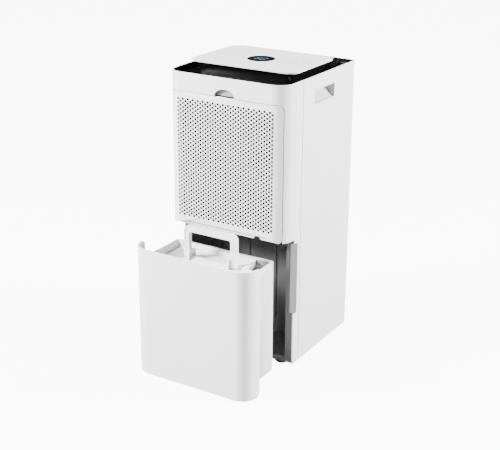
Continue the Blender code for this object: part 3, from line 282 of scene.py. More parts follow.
def grain_group():
    """Moulded plastic: soft ripple from the tool, faint rubbed patches and a little tone drift."""
    group = bpy.data.node_groups.new("moulded_grain", "ShaderNodeTree")
    face = group.interface
    for name, kind, value in (
        ("Colour", "NodeSocketColor", (0.8, 0.8, 0.8, 1)),
        ("Drift", "NodeSocketFloat", 0.03),
        ("Roughness", "NodeSocketFloat", 0.25),
        ("Rub", "NodeSocketFloat", 0.05),
        ("Ripple", "NodeSocketFloat", 0.02),
        ("Grain Scale", "NodeSocketFloat", 900.0),
    ):
        socket = face.new_socket(name, in_out="INPUT", socket_type=kind)
        socket.default_value = value
    for name, kind in (
        ("Colour", "NodeSocketColor"),
        ("Roughness", "NodeSocketFloat"),
        ("Normal", "NodeSocketVector"),
    ):
        face.new_socket(name, in_out="OUTPUT", socket_type=kind)
    add = group.nodes.new
    link = group.links.new
    given, out = add("NodeGroupInput"), add("NodeGroupOutput")
    where = add("ShaderNodeTexCoord")
    cloud, rub, ripple, fine = (add("ShaderNodeTexNoise") for _ in range(4))
    for noise, scale, detail in ((cloud, 7, 3), (rub, 23, 5), (ripple, 60, 1)):
        noise.inputs["Scale"].default_value = scale
        noise.inputs["Detail"].default_value = detail
        link(where.outputs["Object"], noise.inputs["Vector"])
    link(where.outputs["Object"], fine.inputs["Vector"])
    link(given.outputs["Grain Scale"], fine.inputs["Scale"])
    fine.inputs["Detail"].default_value = 2
    dim = add("ShaderNodeMapRange")
    link(cloud.outputs["Fac"], dim.inputs["Value"])
    dim.inputs["From Min"].default_value, dim.inputs["From Max"].default_value = 0.3, 0.7
    link(given.outputs["Drift"], dim.inputs["To Min"])
    dim.inputs["To Max"].default_value = 0.0
    darker = add("ShaderNodeMix")
    darker.data_type = "RGBA"
    darker.blend_type = "MIX"
    darker.inputs[7].default_value = (0.0, 0.0, 0.0, 1)
    link(dim.outputs["Result"], darker.inputs[0])
    link(given.outputs["Colour"], darker.inputs[6])
    link(darker.outputs[2], out.inputs["Colour"])
    spread = add("ShaderNodeMapRange")
    link(rub.outputs["Fac"], spread.inputs["Value"])
    spread.inputs["From Min"].default_value, spread.inputs["From Max"].default_value = 0.45, 0.75
    spread.inputs["To Min"].default_value = 0.0
    link(given.outputs["Rub"], spread.inputs["To Max"])
    rougher = add("ShaderNodeMath")
    rougher.operation = "ADD"
    link(spread.outputs["Result"], rougher.inputs[0])
    link(given.outputs["Roughness"], rougher.inputs[1])
    link(rougher.outputs["Value"], out.inputs["Roughness"])
    broad, close = add("ShaderNodeBump"), add("ShaderNodeBump")
    link(ripple.outputs["Fac"], broad.inputs["Height"])
    link(given.outputs["Ripple"], broad.inputs["Strength"])
    broad.inputs["Distance"].default_value = 0.0006
    link(fine.outputs["Fac"], close.inputs["Height"])
    link(given.outputs["Ripple"], close.inputs["Strength"])
    close.inputs["Distance"].default_value = 0.0002
    link(broad.outputs["Normal"], close.inputs["Normal"])
    link(close.outputs["Normal"], out.inputs["Normal"])
    return group


moulded_grain = grain_group()


def plastic(name, colour, roughness, drift=0.03, rub=0.05, ripple=0.06, coat=0.0, grain=900.0):
    """Moulded plastic whose colour, gloss and surface all wander a little, as a moulding's do."""
    made, tree, shader = plain(name, colour, roughness)
    effect = tree.nodes.new("ShaderNodeGroup")
    effect.node_tree = moulded_grain
    effect.inputs["Colour"].default_value = (*colour, 1)
    effect.inputs["Drift"].default_value = drift
    effect.inputs["Roughness"].default_value = roughness
    effect.inputs["Rub"].default_value = rub
    effect.inputs["Ripple"].default_value = ripple
    effect.inputs["Grain Scale"].default_value = grain
    tree.links.new(effect.outputs["Colour"], shader.inputs["Base Color"])
    tree.links.new(effect.outputs["Roughness"], shader.inputs["Roughness"])
    tree.links.new(effect.outputs["Normal"], shader.inputs["Normal"])
    shader.inputs["Coat Weight"].default_value = coat
    shader.inputs["Coat Roughness"].default_value = 0.04
    return made


white_abs = plastic(
    "gloss_white_abs", (0.78, 0.78, 0.785), 0.22, drift=0.015, rub=0.06, ripple=0.05, coat=0.3
)
# Darker grey for the scoops, seam grooves and finger cup: painted shade in those recesses of the
# white moulding.
painted_recess_shade = plastic("painted_recess_shade", (0.27, 0.27, 0.275), 0.5, drift=0.08, rub=0.1, ripple=0.2)

shell_low, shell_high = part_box("front_shell")
half_width = shell_high.x
front_y, seam_y = shell_low.y, shell_high.y
floor_z, rim_z = shell_low.z, shell_high.z
liner_low, liner_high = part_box("bay_liner")
bay_top = liner_high.z - FRAME_DROP
bay_half = half_width - FRAME_SIDE
frame_y = front_y + FRAME_SETBACK
grille_low, grille_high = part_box("grille_panel")


def finger_scoop(side):
    """Wedge, round at its foot, that takes the frame's outer corner away beside the tank."""
    top = bay_top - SCOOP_DROP
    wide = (side * (half_width - SCOOP_WIDE), side * (half_width + 1 * MM))
    shape = slab(wide, (0, SCOOP_DEEP), (top - SCOOP_TALL, top))
    for vert in shape.verts:
        if abs(vert.co.x) < half_width and vert.co.y > SCOOP_DEEP - 1 * MM:
            vert.co.y = 0.01 * MM

    def at_foot(at, along):
        return abs(along.x) > 0.5 and abs(along.y) > 0.5 and at.z < top - SCOOP_TALL / 2

    round_off(shape, SCOOP_FOOT_RADIUS, 6, at_foot)
    bmesh.ops.translate(shape, verts=shape.verts, vec=(0, frame_y - 1 * MM, 0))
    return shape


front_moulding = as_piece(
    "front_moulding",
    u_wall(half_width, front_y, seam_y, (floor_z, rim_z), FRONT_RADIUS, WALL),
    white_abs,
    "casing",
    edge=EDGE,
)
for side in (-1, 1):
    pillar_x = (side * (bay_half + 2.3 * MM), side * (half_width - WALL / 2))
    pillar_y = (frame_y + 2.6 * MM, frame_y + 16 * MM)
    carve(front_moulding, slab(pillar_x, pillar_y, (floor_z + 0.5 * MM, bay_top)), "UNION")
carve(front_moulding, slab((-1, 1), (front_y - 1, frame_y), (-1, bay_top)))
window_half = grille_high.x + WINDOW_GAP
window_top = grille_high.z + WINDOW_GAP
window = slab(
    (-window_half, window_half),
    (front_y - WALL, front_y + FRONT_RADIUS / 2),
    (bay_top - WALL, window_top),
)
upper_corners = lambda at, along: abs(along.y) > 0.9 and at.z > window_top - 1 * MM
round_off(window, WINDOW_RADIUS, 8, upper_corners)
carve(front_moulding, window)
carve(
    front_moulding,
    slab(
        (-LATCH_HALF - WALL, LATCH_HALF + WALL),
        (front_y + WALL / 2, front_y + LATCH_DEPTH + WALL),
        (window_top + 0.5 * MM, window_top + LATCH_HEIGHT + 1.5 * MM),
    ),
    "UNION",
)
cup = bmesh.new()
bmesh.ops.create_cone(
    cup,
    cap_ends=True,
    segments=48,
    radius1=1,
    radius2=0.86,
    depth=1,
    matrix=Matrix.Translation((0, front_y + LATCH_DEPTH - CUP_BACK, window_top))
    @ Matrix.Diagonal((LATCH_HALF, CUP_LENGTH, LATCH_HEIGHT, 1))
    @ Matrix.Rotation(math.radians(-90), 4, "X"),
)
carve(front_moulding, cup)
for side in (-1, 1):
    carve(front_moulding, finger_scoop(side))
    groove_x = (side * (half_width - SEAM_DEEP), side * (half_width + 1 * MM))
    groove_y, groove_z = (seam_y - SEAM_WIDE, seam_y + 1 * MM), (floor_z - 1 * MM, rim_z + 1 * MM)
    carve(front_moulding, slab(groove_x, groove_y, groove_z))
    # The scoop and the seam groove get painted shade on their faces.
    scoop_x = sorted((side * (half_width - SCOOP_WIDE - 0.5 * MM), side * (half_width - 0.2 * MM)))
    scoop_low = (scoop_x[0], frame_y - 0.9 * MM, bay_top - SCOOP_DROP - SCOOP_TALL - 1 * MM)
    scoop_high = (scoop_x[1], frame_y + SCOOP_DEEP - 1.1 * MM, bay_top - SCOOP_DROP + 1 * MM)
    paint_shade_on_faces(front_moulding, painted_recess_shade, scoop_low, scoop_high)
    seam_x = sorted((side * (half_width - 2 * MM), side * (half_width - 0.2 * MM)))
    paint_shade_on_faces(front_moulding, painted_recess_shade, (seam_x[0], seam_y - 2 * MM, -1), (seam_x[1], seam_y, 1))
# The finger cup above the grille gets painted shade on its faces.
paint_shade_on_faces(
    front_moulding,
    painted_recess_shade,
    (-LATCH_HALF - WALL, front_y + 0.3 * MM, window_top - 1 * MM),
    (LATCH_HALF + WALL, front_y + LATCH_DEPTH + 1 * MM, window_top + LATCH_HEIGHT + 1 * MM),
)
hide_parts("front_shell")

# ---- rear moulding -------------------------------------------------------------------------------
# The back and both sides behind the seam are a second U of the same white ABS. It is screwed to the
# front moulding and has the carry cups' openings, the drain hole and the cord inlet.
REAR_RADIUS, BORE_RADIUS = 12 * MM, 6 * MM
RIB_COUNT, RIB_STEP, RIB_DROP = 12, 9 * MM, 75 * MM
RIB_HALF, RIB_TALL, RIB_DEEP = 70 * MM, 2.2 * MM, 0.8 * MM
rear_low, rear_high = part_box("rear_shell")
back_y = rear_high.y
rear_moulding = as_piece(
    "rear_moulding",
    u_wall(half_width, back_y, rear_low.y, (floor_z, rim_z), REAR_RADIUS, WALL, steps=12),
    white_abs,
    "casing",
    edge=EDGE,
)
cup_low, cup_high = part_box("carry_cup_right")
CUP_WALL = 2 * MM
for side in (-1, 1):
    opening_y = (cup_low.y + CUP_WALL, cup_high.y - CUP_WALL)
    opening_z = (cup_low.z + CUP_WALL, cup_high.z - CUP_WALL)
    opening = slab(
        (side * (half_width - 2 * WALL), side * (half_width + WALL)), opening_y, opening_z
    )
    round_off(opening, 2 * MM, 4, lambda at, along: abs(along.x) > 0.9)
    carve(rear_moulding, opening)


def drum(radius, low, high, place, toward="Z", steps=32, top=None):
    """Closed cylinder, or a cone whose far end has the radius `top`."""
    turn = {"X": (math.radians(90), "Y"), "Y": (math.radians(-90), "X"), "Z": (0, "X")}[toward]
    shape = bmesh.new()
    bmesh.ops.create_cone(
        shape,
        cap_ends=True,
        segments=steps,
        radius1=radius,
        radius2=radius if top is None else top,
        depth=high - low,
        matrix=Matrix.Translation(place)
        @ Matrix.Rotation(turn[0], 4, turn[1])
        @ Matrix.Translation((0, 0, (low + high) / 2)),
    )
    return shape


for fitting, margin in (("drain_port", 1.3 * MM), ("cord_gland", 0.3 * MM)):
    low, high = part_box(fitting)
    middle = ((low.x + high.x) / 2, back_y, (low.z + high.z) / 2)
    carve(rear_moulding, drum(BORE_RADIUS + margin, -2 * WALL, 2 * WALL, middle, "Y"))
for i in range(RIB_COUNT):
    z = rim_z - RIB_DROP - i * RIB_STEP
    groove = slab((-RIB_HALF, RIB_HALF), (back_y - RIB_DEEP, back_y + WALL), (z, z + RIB_TALL))
    carve(rear_moulding, groove)
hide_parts("rear_shell")


def dress(finish, *names):
    """Gives the frame's own solids their finish."""
    for name in names:
        nodes[name].data.materials.clear()
        nodes[name].data.materials.append(finish)


# Mid grey for the carry cups instead of the casing's white: painted shade inside the cups.
painted_cup_shade = plastic("painted_cup_shade", (0.5, 0.5, 0.505), 0.45, drift=0.05, rub=0.08, ripple=0.1)
dress(painted_cup_shade, "carry_cup_left", "carry_cup_right")


# ---- perforated grille ---------------------------------------------------------------------------
# One white ABS panel, 1.2 mm thick, whose ends follow the casing's round corners. Its field of some
# eleven hundred staggered round holes is moulded through, and it clips on by its lower edge.
HOLE = 5.6 * MM
COLUMN_STEP = 5.9 * MM
ROW_STEP = 8.4 * MM
COLUMN_PAIRS = 19
ROWS = 30
FIELD_RISE = 3.5 * MM
GRILLE_WALL, GRILLE_EDGE = 1.2 * MM, 0.9 * MM
TOP_CORNER, LOW_CORNER = 11 * MM, 7 * MM
NOTCH_RADIUS, NOTCH_X = 8 * MM, 74.5 * MM
BENDS = 16
flat_half = half_width - FRONT_RADIUS


def punched_cell(shape):
    """One hole in its own little rectangle of sheet, at the sheet's origin."""
    ring = bmesh.ops.create_circle(shape, cap_ends=False, segments=12, radius=HOLE / 2)["verts"]
    edges = list(dict.fromkeys(edge for vert in ring for edge in vert.link_edges))
    grown = bmesh.ops.extrude_edge_only(shape, edges=edges)["geom"]
    rim = [item for item in grown if isinstance(item, bmesh.types.BMVert)]
    for vert in rim:
        wide, tall = vert.co.x / (HOLE / 2), vert.co.y / (HOLE / 2)
        vert.co.x = 0 if abs(wide) < 0.1 else math.copysign(COLUMN_STEP / 2, wide)
        tall_step = 0 if abs(tall) < 0.1 else (0.5 if abs(tall) < 0.6 else 1.0)
        vert.co.y = math.copysign(tall_step * ROW_STEP / 2, tall)


def repeat(shape, step, count):
    """Copies all of a shape in a straight row."""
    bmesh.ops.spin(
        shape,
        geom=shape.verts[:] + shape.edges[:] + shape.faces[:],
        cent=(0, 0, 0),
        axis=(0, 0, 1),
        dvec=step,
        angle=0,
        steps=count - 1,
        use_duplicate=True,
    )


sheet = bmesh.new()
for column, rows in ((0, ROWS), (1, ROWS - 1)):
    cell = bmesh.new()
    punched_cell(cell)
    repeat(cell, (0, ROW_STEP, 0), rows)
    place = (column * COLUMN_STEP, column * ROW_STEP / 2, 0)
    bmesh.ops.translate(cell, verts=cell.verts, vec=place)
    strip = bpy.data.meshes.new("strip")
    cell.to_mesh(strip)
    cell.free()
    sheet.from_mesh(strip)
    bpy.data.meshes.remove(strip)
repeat(sheet, (2 * COLUMN_STEP, 0, 0), COLUMN_PAIRS)
field_left = -(COLUMN_PAIRS - 0.5) * COLUMN_STEP
grille_middle = (grille_low.z + grille_high.z) / 2 + FIELD_RISE
field_low = grille_middle - (ROWS - 1) / 2 * ROW_STEP
bmesh.ops.translate(sheet, verts=sheet.verts, vec=(field_left, field_low, 0))
bmesh.ops.remove_doubles(sheet, verts=sheet.verts, dist=0.05 * MM)
border = []
for edge in sheet.edges:
    reach = edge.verts[1].co - edge.verts[0].co
    if len(edge.link_faces) == 1 and min(abs(reach.x), abs(reach.y)) < 0.01 * MM:
        border.append(edge)
arc_half = flat_half + FRONT_RADIUS * math.asin((grille_high.x - flat_half) / FRONT_RADIUS)
outline = bmesh.ops.create_grid(sheet, x_segments=1, y_segments=1, size=1)["verts"]
for vert in outline:
    height = grille_high.z if vert.co.y > 0 else grille_low.z
    vert.co = Vector((math.copysign(arc_half, vert.co.x), height, 0))
top_corners = [vert for vert in outline if vert.co.y > grille_middle]
low_corners = [vert for vert in outline if vert.co.y < grille_middle]
rounding = {
    "segments": 8,
    "profile": 0.5,
    "affect": "VERTICES",
    "material": -1,
    "clamp_overlap": True,
}
bmesh.ops.bevel(sheet, geom=top_corners, offset=TOP_CORNER, **rounding)
bmesh.ops.bevel(sheet, geom=low_corners, offset=LOW_CORNER, **rounding)
plain_face = max(sheet.faces, key=lambda face: face.calc_area())
frame_edges = plain_face.edges[:]
bmesh.ops.delete(sheet, geom=[plain_face], context="FACES_ONLY")
bmesh.ops.triangle_fill(
    sheet, edges=border + frame_edges, use_beauty=True, use_dissolve=False, normal=(0, 0, 1)
)
for i in range(2 * BENDS):
    bend = flat_half + i // 2 * (arc_half - flat_half) / BENDS
    bend = bend if i % 2 else -bend
    near = [face for face in sheet.faces if face.calc_center_median().x / bend > 0.85]
    parts = dict.fromkeys(item for face in near for item in (*face.verts, *face.edges, face))
    bmesh.ops.bisect_plane(
        sheet, geom=list(parts), dist=1e-6, plane_co=(bend, 0, 0), plane_no=(1, 0, 0)
    )
outer_edges = []
for edge in sheet.edges:
    if len(edge.link_faces) == 1:
        far = max(abs(vert.co.x) for vert in edge.verts) > arc_half - 8 * MM
        high = max(vert.co.y for vert in edge.verts) > grille_high.z - 8 * MM
        low = min(vert.co.y for vert in edge.verts) < grille_low.z + 8 * MM
        if far or high or low:
            outer_edges.append(edge)
for vert in sheet.verts:
    along, height = vert.co.x, vert.co.y
    turn = max(0.0, abs(along) - flat_half) / FRONT_RADIUS
    x = math.copysign(min(abs(along), flat_half) + FRONT_RADIUS * math.sin(turn), along)
    vert.co = Vector((x, front_y + FRONT_RADIUS * (1 - math.cos(turn)), height))
bmesh.ops.recalc_face_normals(sheet, faces=sheet.faces)
sheet.faces.ensure_lookup_table()
if sum(face.normal.y for face in sheet.faces) > 0:
    bmesh.ops.reverse_faces(sheet, faces=sheet.faces)
bmesh.ops.solidify(sheet, geom=sheet.faces[:], thickness=GRILLE_WALL)
front_edges = [edge for edge in outer_edges if edge.is_valid]
bmesh.ops.bevel(
    sheet,
    geom=front_edges,
    offset=GRILLE_EDGE,
    segments=3,
    profile=0.5,
    affect="EDGES",
    material=-1,
)
grille_sheet = as_piece("grille_sheet", sheet, white_abs, "grille")
carve(grille_sheet, drum(NOTCH_RADIUS, -WALL, 3 * WALL, (NOTCH_X, front_y, grille_low.z), "Y"))
grille_sheet.data.set_sharp_from_angle(angle=SHARP)
# Near-black on the hole walls and on the sheet's back in the hole field: painted shade inside the
# white holes.
painted_bore_shade = plastic("painted_bore_shade", (0.008, 0.008, 0.008), 0.9, drift=0.1, rub=0.1, ripple=0.2)
grille_sheet.data.materials.append(painted_bore_shade)
field_half = COLUMN_PAIRS * COLUMN_STEP
for face in grille_sheet.data.polygons:
    middle, toward = face.center, face.normal
    turn = max(abs(middle.x) - flat_half, 0) / FRONT_RADIUS
    outward = Vector((math.copysign(math.sin(turn), middle.x), -math.cos(turn), 0))
    in_field = abs(middle.x) < field_half and abs(middle.z - grille_middle) < ROWS / 2 * ROW_STEP
    if in_field and toward.dot(outward) < 0.3:
        face.material_index = 1
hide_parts("grille_panel")
filter_cloth = plastic("filter_dark", (0.007, 0.007, 0.0075), 0.85, drift=0.3, rub=0.1, ripple=0.5)
dress(filter_cloth, "filter_frame", "filter_mesh")


# ---- top tray ------------------------------------------------------------------------------------
# Glossy black ABS dish set into the casing's mouth. Its walls fall in a smooth cove to a flat
# floor, and the column in the middle holds the control panel up.
piano_black = plastic("piano_black", (0.002, 0.002, 0.0022), 0.13, drift=0.0, rub=0.04, ripple=0.02)
piano_black.node_tree.nodes["Principled BSDF"].inputs["Specular IOR Level"].default_value = 0.25
tray_low, tray_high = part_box("top_tray")
panel_low, panel_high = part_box("control_panel")
tray_top = rim_z - 0.6 * MM
TRAY_FALL, TRAY_BORDER = 14.4 * MM, 1.5 * MM
COVE = 7 * MM
COVE_STEPS = 7
PEDESTAL_SETBACK, PEDESTAL_WALL, PEDESTAL_RADIUS = 12 * MM, 3 * MM, 15 * MM
LOUVRE_GAP = 0.3 * MM


def outline_block(low, high, inset, z):
    """Block between two z values with a box's outline, drawn in by `inset`."""
    return slab((low.x + inset, high.x - inset), (low.y + inset, high.y - inset), z)


def corner_post(at, along):
    return abs(along.z) > 0.9


def rear_post(at, along):
    at_corner = at.y > tray_high.y - 1 * MM and abs(at.x) > tray_high.x - 1 * MM
    return corner_post(at, along) and at_corner


tray = outline_block(tray_low, tray_high, 0, (tray_low.z, tray_top))
round_off(tray, FRONT_RADIUS - WALL, 20, lambda at, along: corner_post(at, along) and at.y < 0)
round_off(tray, REAR_RADIUS - WALL, 12, rear_post)
dish = max(tray.faces, key=lambda face: face.calc_center_median().z)
bmesh.ops.inset_region(tray, faces=[dish], thickness=TRAY_BORDER, depth=0)
for i in range(COVE_STEPS):
    start, end = (math.radians(90 * k / COVE_STEPS) for k in (i, i + 1))
    inward = COVE * (math.cos(start) - math.cos(end))
    fall = TRAY_FALL * (math.sin(end) - math.sin(start))
    bmesh.ops.inset_region(tray, faces=[dish], thickness=inward, depth=-fall)
tray_piece = as_piece("tray_dish", tray, piano_black, "casing", edge=0.4 * MM, steps=2)
column_z = (tray_low.z + 1 * MM, panel_low.z - 0.3 * MM)
column = outline_block(panel_low, panel_high, PEDESTAL_SETBACK, column_z)
round_off(column, PEDESTAL_RADIUS, 10, corner_post)
carve(tray_piece, column, "UNION")
well_z = (tray_low.z - 1 * MM, panel_low.z + 1 * MM)
well = outline_block(panel_low, panel_high, PEDESTAL_SETBACK + PEDESTAL_WALL, well_z)
round_off(well, PEDESTAL_RADIUS - PEDESTAL_WALL, 8, corner_post)
carve(tray_piece, well)
louvre_low, louvre_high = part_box("outlet_louvre")
mouth_z = (tray_low.z - 1 * MM, tray_low.z + 6 * MM)
carve(tray_piece, outline_block(louvre_low, louvre_high, -LOUVRE_GAP, mouth_z))
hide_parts("top_tray")


# ---- air outlet ----------------------------------------------------------------------------------
# Black ABS louvre across the rear of the tray: a frame with thin fins that run front to back, which
# let the dried air out and keep fingers from the fan.
FIN_STEP = 6 * MM
FIN = 1.6 * MM
OUTLET_BORDER = 3 * MM
frame_z = (louvre_low.z, louvre_low.z + OUTLET_BORDER)
outlet_ring = outline_block(louvre_low, louvre_high, 0, frame_z)
outlet = as_piece("outlet_frame", outlet_ring, piano_black, "casing", edge=0.3 * MM, steps=2)
through_z = (louvre_low.z - 1 * MM, louvre_high.z + 1 * MM)
carve(outlet, outline_block(louvre_low, louvre_high, OUTLET_BORDER, through_z))
fin_y = (louvre_low.y + 1 * MM, louvre_high.y - 1 * MM)
fin_z = (louvre_low.z + 0.5 * MM, louvre_high.z - 0.4 * MM)
fins = slab((-FIN / 2, FIN / 2), fin_y, fin_z)
fin_top = lambda at, along: at.z > louvre_low.z + 2 * MM and abs(along.z) < 0.1
round_off(fins, 0.5 * MM, 2, fin_top)
fin_count = int((louvre_high.x - louvre_low.x - 8 * MM) / FIN_STEP)
bmesh.ops.translate(fins, verts=fins.verts, vec=(-(fin_count - 1) / 2 * FIN_STEP, 0, 0))
repeat(fins, (FIN_STEP, 0, 0), fin_count)
outlet_fins = as_piece("outlet_fins", fins, piano_black, "casing")
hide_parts("outlet_louvre")


# ---- control panel -------------------------------------------------------------------------------
# Thin white ABS plate that floats over the tray. A flush black window in its middle covers the
# digits, and the touch keys are faint grey prints beside it.
panel_white = plastic(
    "panel_white", (0.80, 0.80, 0.805), 0.3, drift=0.01, rub=0.05, ripple=0.04, coat=0.1
)
PRINT = 0.05 * MM
PANEL_RADIUS, PANEL_UNDERCUT = 21 * MM, 2.2 * MM
DISPLAY_SPREAD, DISPLAY_GAP = 1 * MM, 0.2 * MM
panel_top_z = panel_high.z - PRINT
panel = outline_block(panel_low, panel_high, 0, (panel_low.z, panel_top_z))
round_off(panel, PANEL_RADIUS, 14, corner_post)
lower_edge = lambda at, along: at.z < panel_low.z + 0.1 * MM and abs(along.z) < 0.1
round_off(panel, PANEL_UNDERCUT, 4, lower_edge)
panel_plate = as_piece("panel_plate", panel, panel_white, "casing", edge=0.3 * MM)
lens_low, lens_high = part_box("display_lens")
lens_y = (lens_low.y + lens_high.y) / 2
lens_radius = (lens_high.x - lens_low.x) / 2 + DISPLAY_SPREAD
display_hole = drum(lens_radius + DISPLAY_GAP, -6 * MM, 6 * MM, (0, lens_y, panel_low.z), steps=64)
carve(panel_plate, display_hole)
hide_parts("control_panel")

window_black = plastic("window_black", (0.002, 0.002, 0.002), 0.1, drift=0.0, rub=0.03, ripple=0.01)
window_black.node_tree.nodes["Principled BSDF"].inputs["Specular IOR Level"].default_value = 0.15
window_top_z = panel_high.z - 0.1 * MM
window = drum(lens_radius, 0, window_top_z - lens_low.z, (0, lens_y, lens_low.z), steps=64)
display_window = as_piece("display_window", window, window_black, "casing", edge=0.2 * MM)
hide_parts("display_lens")

print_grey, _, _ = plain("key_print", (0.3, 0.3, 0.31), 0.6)
ring_grey, _, _ = plain("window_ring", (0.03, 0.03, 0.032), 0.4)


def print_on_top(name, shape, finish, place, height=panel_top_z):
    """Puts a flat shape down on the panel as a print a twentieth of a millimetre thick."""
    bmesh.ops.recalc_face_normals(shape, faces=shape.faces)
    if sum(face.normal.z for face in shape.faces) < 0:
        bmesh.ops.reverse_faces(shape, faces=shape.faces)
    raised = bmesh.ops.extrude_face_region(shape, geom=shape.faces[:])["geom"]
    lifted = [item for item in raised if isinstance(item, bmesh.types.BMVert)]
    bmesh.ops.translate(shape, verts=lifted, vec=(0, 0, PRINT))
    bmesh.ops.recalc_face_normals(shape, faces=shape.faces)
    bmesh.ops.translate(shape, verts=shape.verts, vec=(*place, height))
    made = as_piece(name, shape, finish, "casing", keep_flat=True)
    return made


def ring_print(radius, width, squash=1.0, steps=24):
    """Flat ring; `squash` makes it an oval."""
    shape = bmesh.new()
    bmesh.ops.create_circle(shape, cap_ends=True, segments=steps, radius=radius)
    bmesh.ops.inset_region(shape, faces=shape.faces[:], thickness=width, use_boundary=True)
    whole = [face for face in shape.faces if len(face.verts) == steps]
    bmesh.ops.delete(shape, geom=whole, context="FACES")
    bmesh.ops.scale(shape, verts=shape.verts, vec=(1, squash, 1))
    return shape


def bar_print(width, height):
    """Flat rectangle."""
    shape = bmesh.new()
    bmesh.ops.create_grid(shape, x_segments=1, y_segments=1, size=0.5)
    bmesh.ops.scale(shape, verts=shape.verts, vec=(width, height, 1))
    return shape


ring = ring_print(20 * MM, 0.5 * MM, steps=64)
halo = print_on_top("window_halo", ring, ring_grey, (0, lens_y), window_top_z)
KEY_X = (-96 * MM, -74 * MM, -54 * MM, 54 * MM, 74 * MM, 96 * MM)
for i, x in enumerate(KEY_X):
    symbol = ring_print(5.5 * MM, 1.3 * MM, 0.9)
    print_on_top(f"key_symbol_{i + 1}", symbol, print_grey, (x, lens_y + (12 if i % 2 else 7) * MM))
    line, dot = bar_print(9 * MM, 2 * MM), ring_print(1.6 * MM, 1.0 * MM, steps=12)
    print_on_top(f"key_line_{i + 1}", line, print_grey, (x, lens_y - 6 * MM))
    print_on_top(f"key_dot_{i + 1}", dot, print_grey, (x, lens_y - 16 * MM))

digit_glow, _, digit_shader = plain("digit_glow", (0.04, 0.12, 0.16), 0.4)
digit_shader.inputs["Emission Color"].default_value = (0.45, 0.85, 1.0, 1)
digit_shader.inputs["Emission Strength"].default_value = 0.5
SEGMENTS = {"6": "acdefg", "0": "abcdef"}
DIGIT_TALL, DIGIT_WIDE, STROKE, SLANT = 19 * MM, 7.5 * MM, 1.1 * MM, 0.2
segment_places = {
    "a": (0, 1, True),
    "b": (0.5, 0.5, False),
    "c": (0.5, -0.5, False),
    "d": (0, -1, True),
    "e": (-0.5, -0.5, False),
    "f": (-0.5, 0.5, False),
    "g": (0, 0, True),
}
for place_x, digit in ((-6.5 * MM, "6"), (6.5 * MM, "0")):
    for segment in SEGMENTS[digit]:
        u, v, level = segment_places[segment]
        if level:
            shape = bar_print(DIGIT_WIDE - 1.2 * STROKE, STROKE)
        else:
            shape = bar_print(STROKE, DIGIT_TALL / 2 - 1.2 * STROKE)
        at = (u * DIGIT_WIDE, v * DIGIT_TALL / 2, 0)
        bmesh.ops.translate(shape, verts=shape.verts, vec=at)
        for vert in shape.verts:
            vert.co.x += SLANT * vert.co.y
        lit = print_on_top(
            f"digit_{digit}_{segment}", shape, digit_glow, (place_x, lens_y), window_top_z
        )


# ---- tank cover ----------------------------------------------------------------------------------
# The front of the tank is a second gloss white U, 3 mm thick, that carries the casing's round
# corners down to the floor. It is heat-staked to two pads on the front of the tank.
cover_low, cover_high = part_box("tank_cover")
COVER_WALL = 3 * MM
COVER_CORNER = 9 * MM
cover_white = plastic(
    "cover_white", (0.82, 0.82, 0.825), 0.2, drift=0.015, rub=0.05, ripple=0.05, coat=0.35
)
tank_cover = as_piece(
    "tank_front_cover",
    u_wall(
        cover_high.x,
        cover_low.y,
        cover_high.y,
        (cover_low.z, cover_high.z),
        FRONT_RADIUS,
        COVER_WALL,
    ),
    cover_white,
    "tank",
    edge=1.0 * MM,
    steps=4,
)
foot_z = (cover_low.z - 1 * MM, cover_low.z + COVER_CORNER)
head_z = (cover_high.z + 1 * MM, cover_high.z - COVER_CORNER)
for corner_z in (foot_z, head_z):
    ease = slab((-0.2, 0.2), (cover_high.y - COVER_CORNER, cover_high.y + 1 * MM), corner_z)
    middle = (0, cover_high.y - COVER_CORNER, corner_z[1])
    keep_round = as_piece("keep_round", ease, cover_white, "tank")
    carve(keep_round, drum(COVER_CORNER, -0.25, 0.25, middle, "X", steps=48))
    cutter = bmesh.new()
    cutter.from_mesh(keep_round.data)
    bpy.data.objects.remove(keep_round)
    carve(tank_cover, cutter)
tank_low, tank_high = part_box("tank_body")
for side in (-1, 1):
    pad_x, pad_y = (side * 50 * MM, side * 70 * MM), (cover_low.y + 1.5 * MM, tank_low.y - 0.3 * MM)
    pad = slab(pad_x, pad_y, (tank_low.z + 30 * MM, tank_high.z - 60 * MM))
    carve(tank_cover, pad, "UNION")
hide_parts("tank_cover")


# ---- water tank ----------------------------------------------------------------------------------
# White moulded bucket with 2.5 mm walls. A fine groove with a hook at its head runs down each side
# behind the cover, where the cover's edge is located.
tank_white = plastic(
    "tank_white", (0.76, 0.76, 0.765), 0.3, drift=0.02, rub=0.08, ripple=0.05, coat=0.1
)
TANK_WALL = 2.5 * MM
TANK_FRONT_RADIUS, TANK_REAR_RADIUS = 12 * MM, 8 * MM
HOOK_DROP, HOOK_TALL, HOOK_LONG = 24 * MM, 2 * MM, 6 * MM
GROOVE_WIDE, GROOVE_DEEP = 1.4 * MM, 1 * MM
lid_low, lid_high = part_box("tank_lid")
tank_half = tank_high.x


def tank_block(inset, z):
    """Block with the tank's own outline, drawn in by `inset`."""
    shape = outline_block(tank_low, tank_high, inset, z)
    middle = (tank_low.y + tank_high.y) / 2
    back, edge_x = tank_high.y - inset - 0.1 * MM, tank_half - inset - 0.1 * MM

    def at_front(at, along):
        return corner_post(at, along) and at.y < middle

    def at_rear(at, along):
        return corner_post(at, along) and at.y > back and abs(at.x) > edge_x

    round_off(shape, TANK_FRONT_RADIUS - inset, 10, at_front)
    round_off(shape, TANK_REAR_RADIUS - inset, 8, at_rear)
    return shape


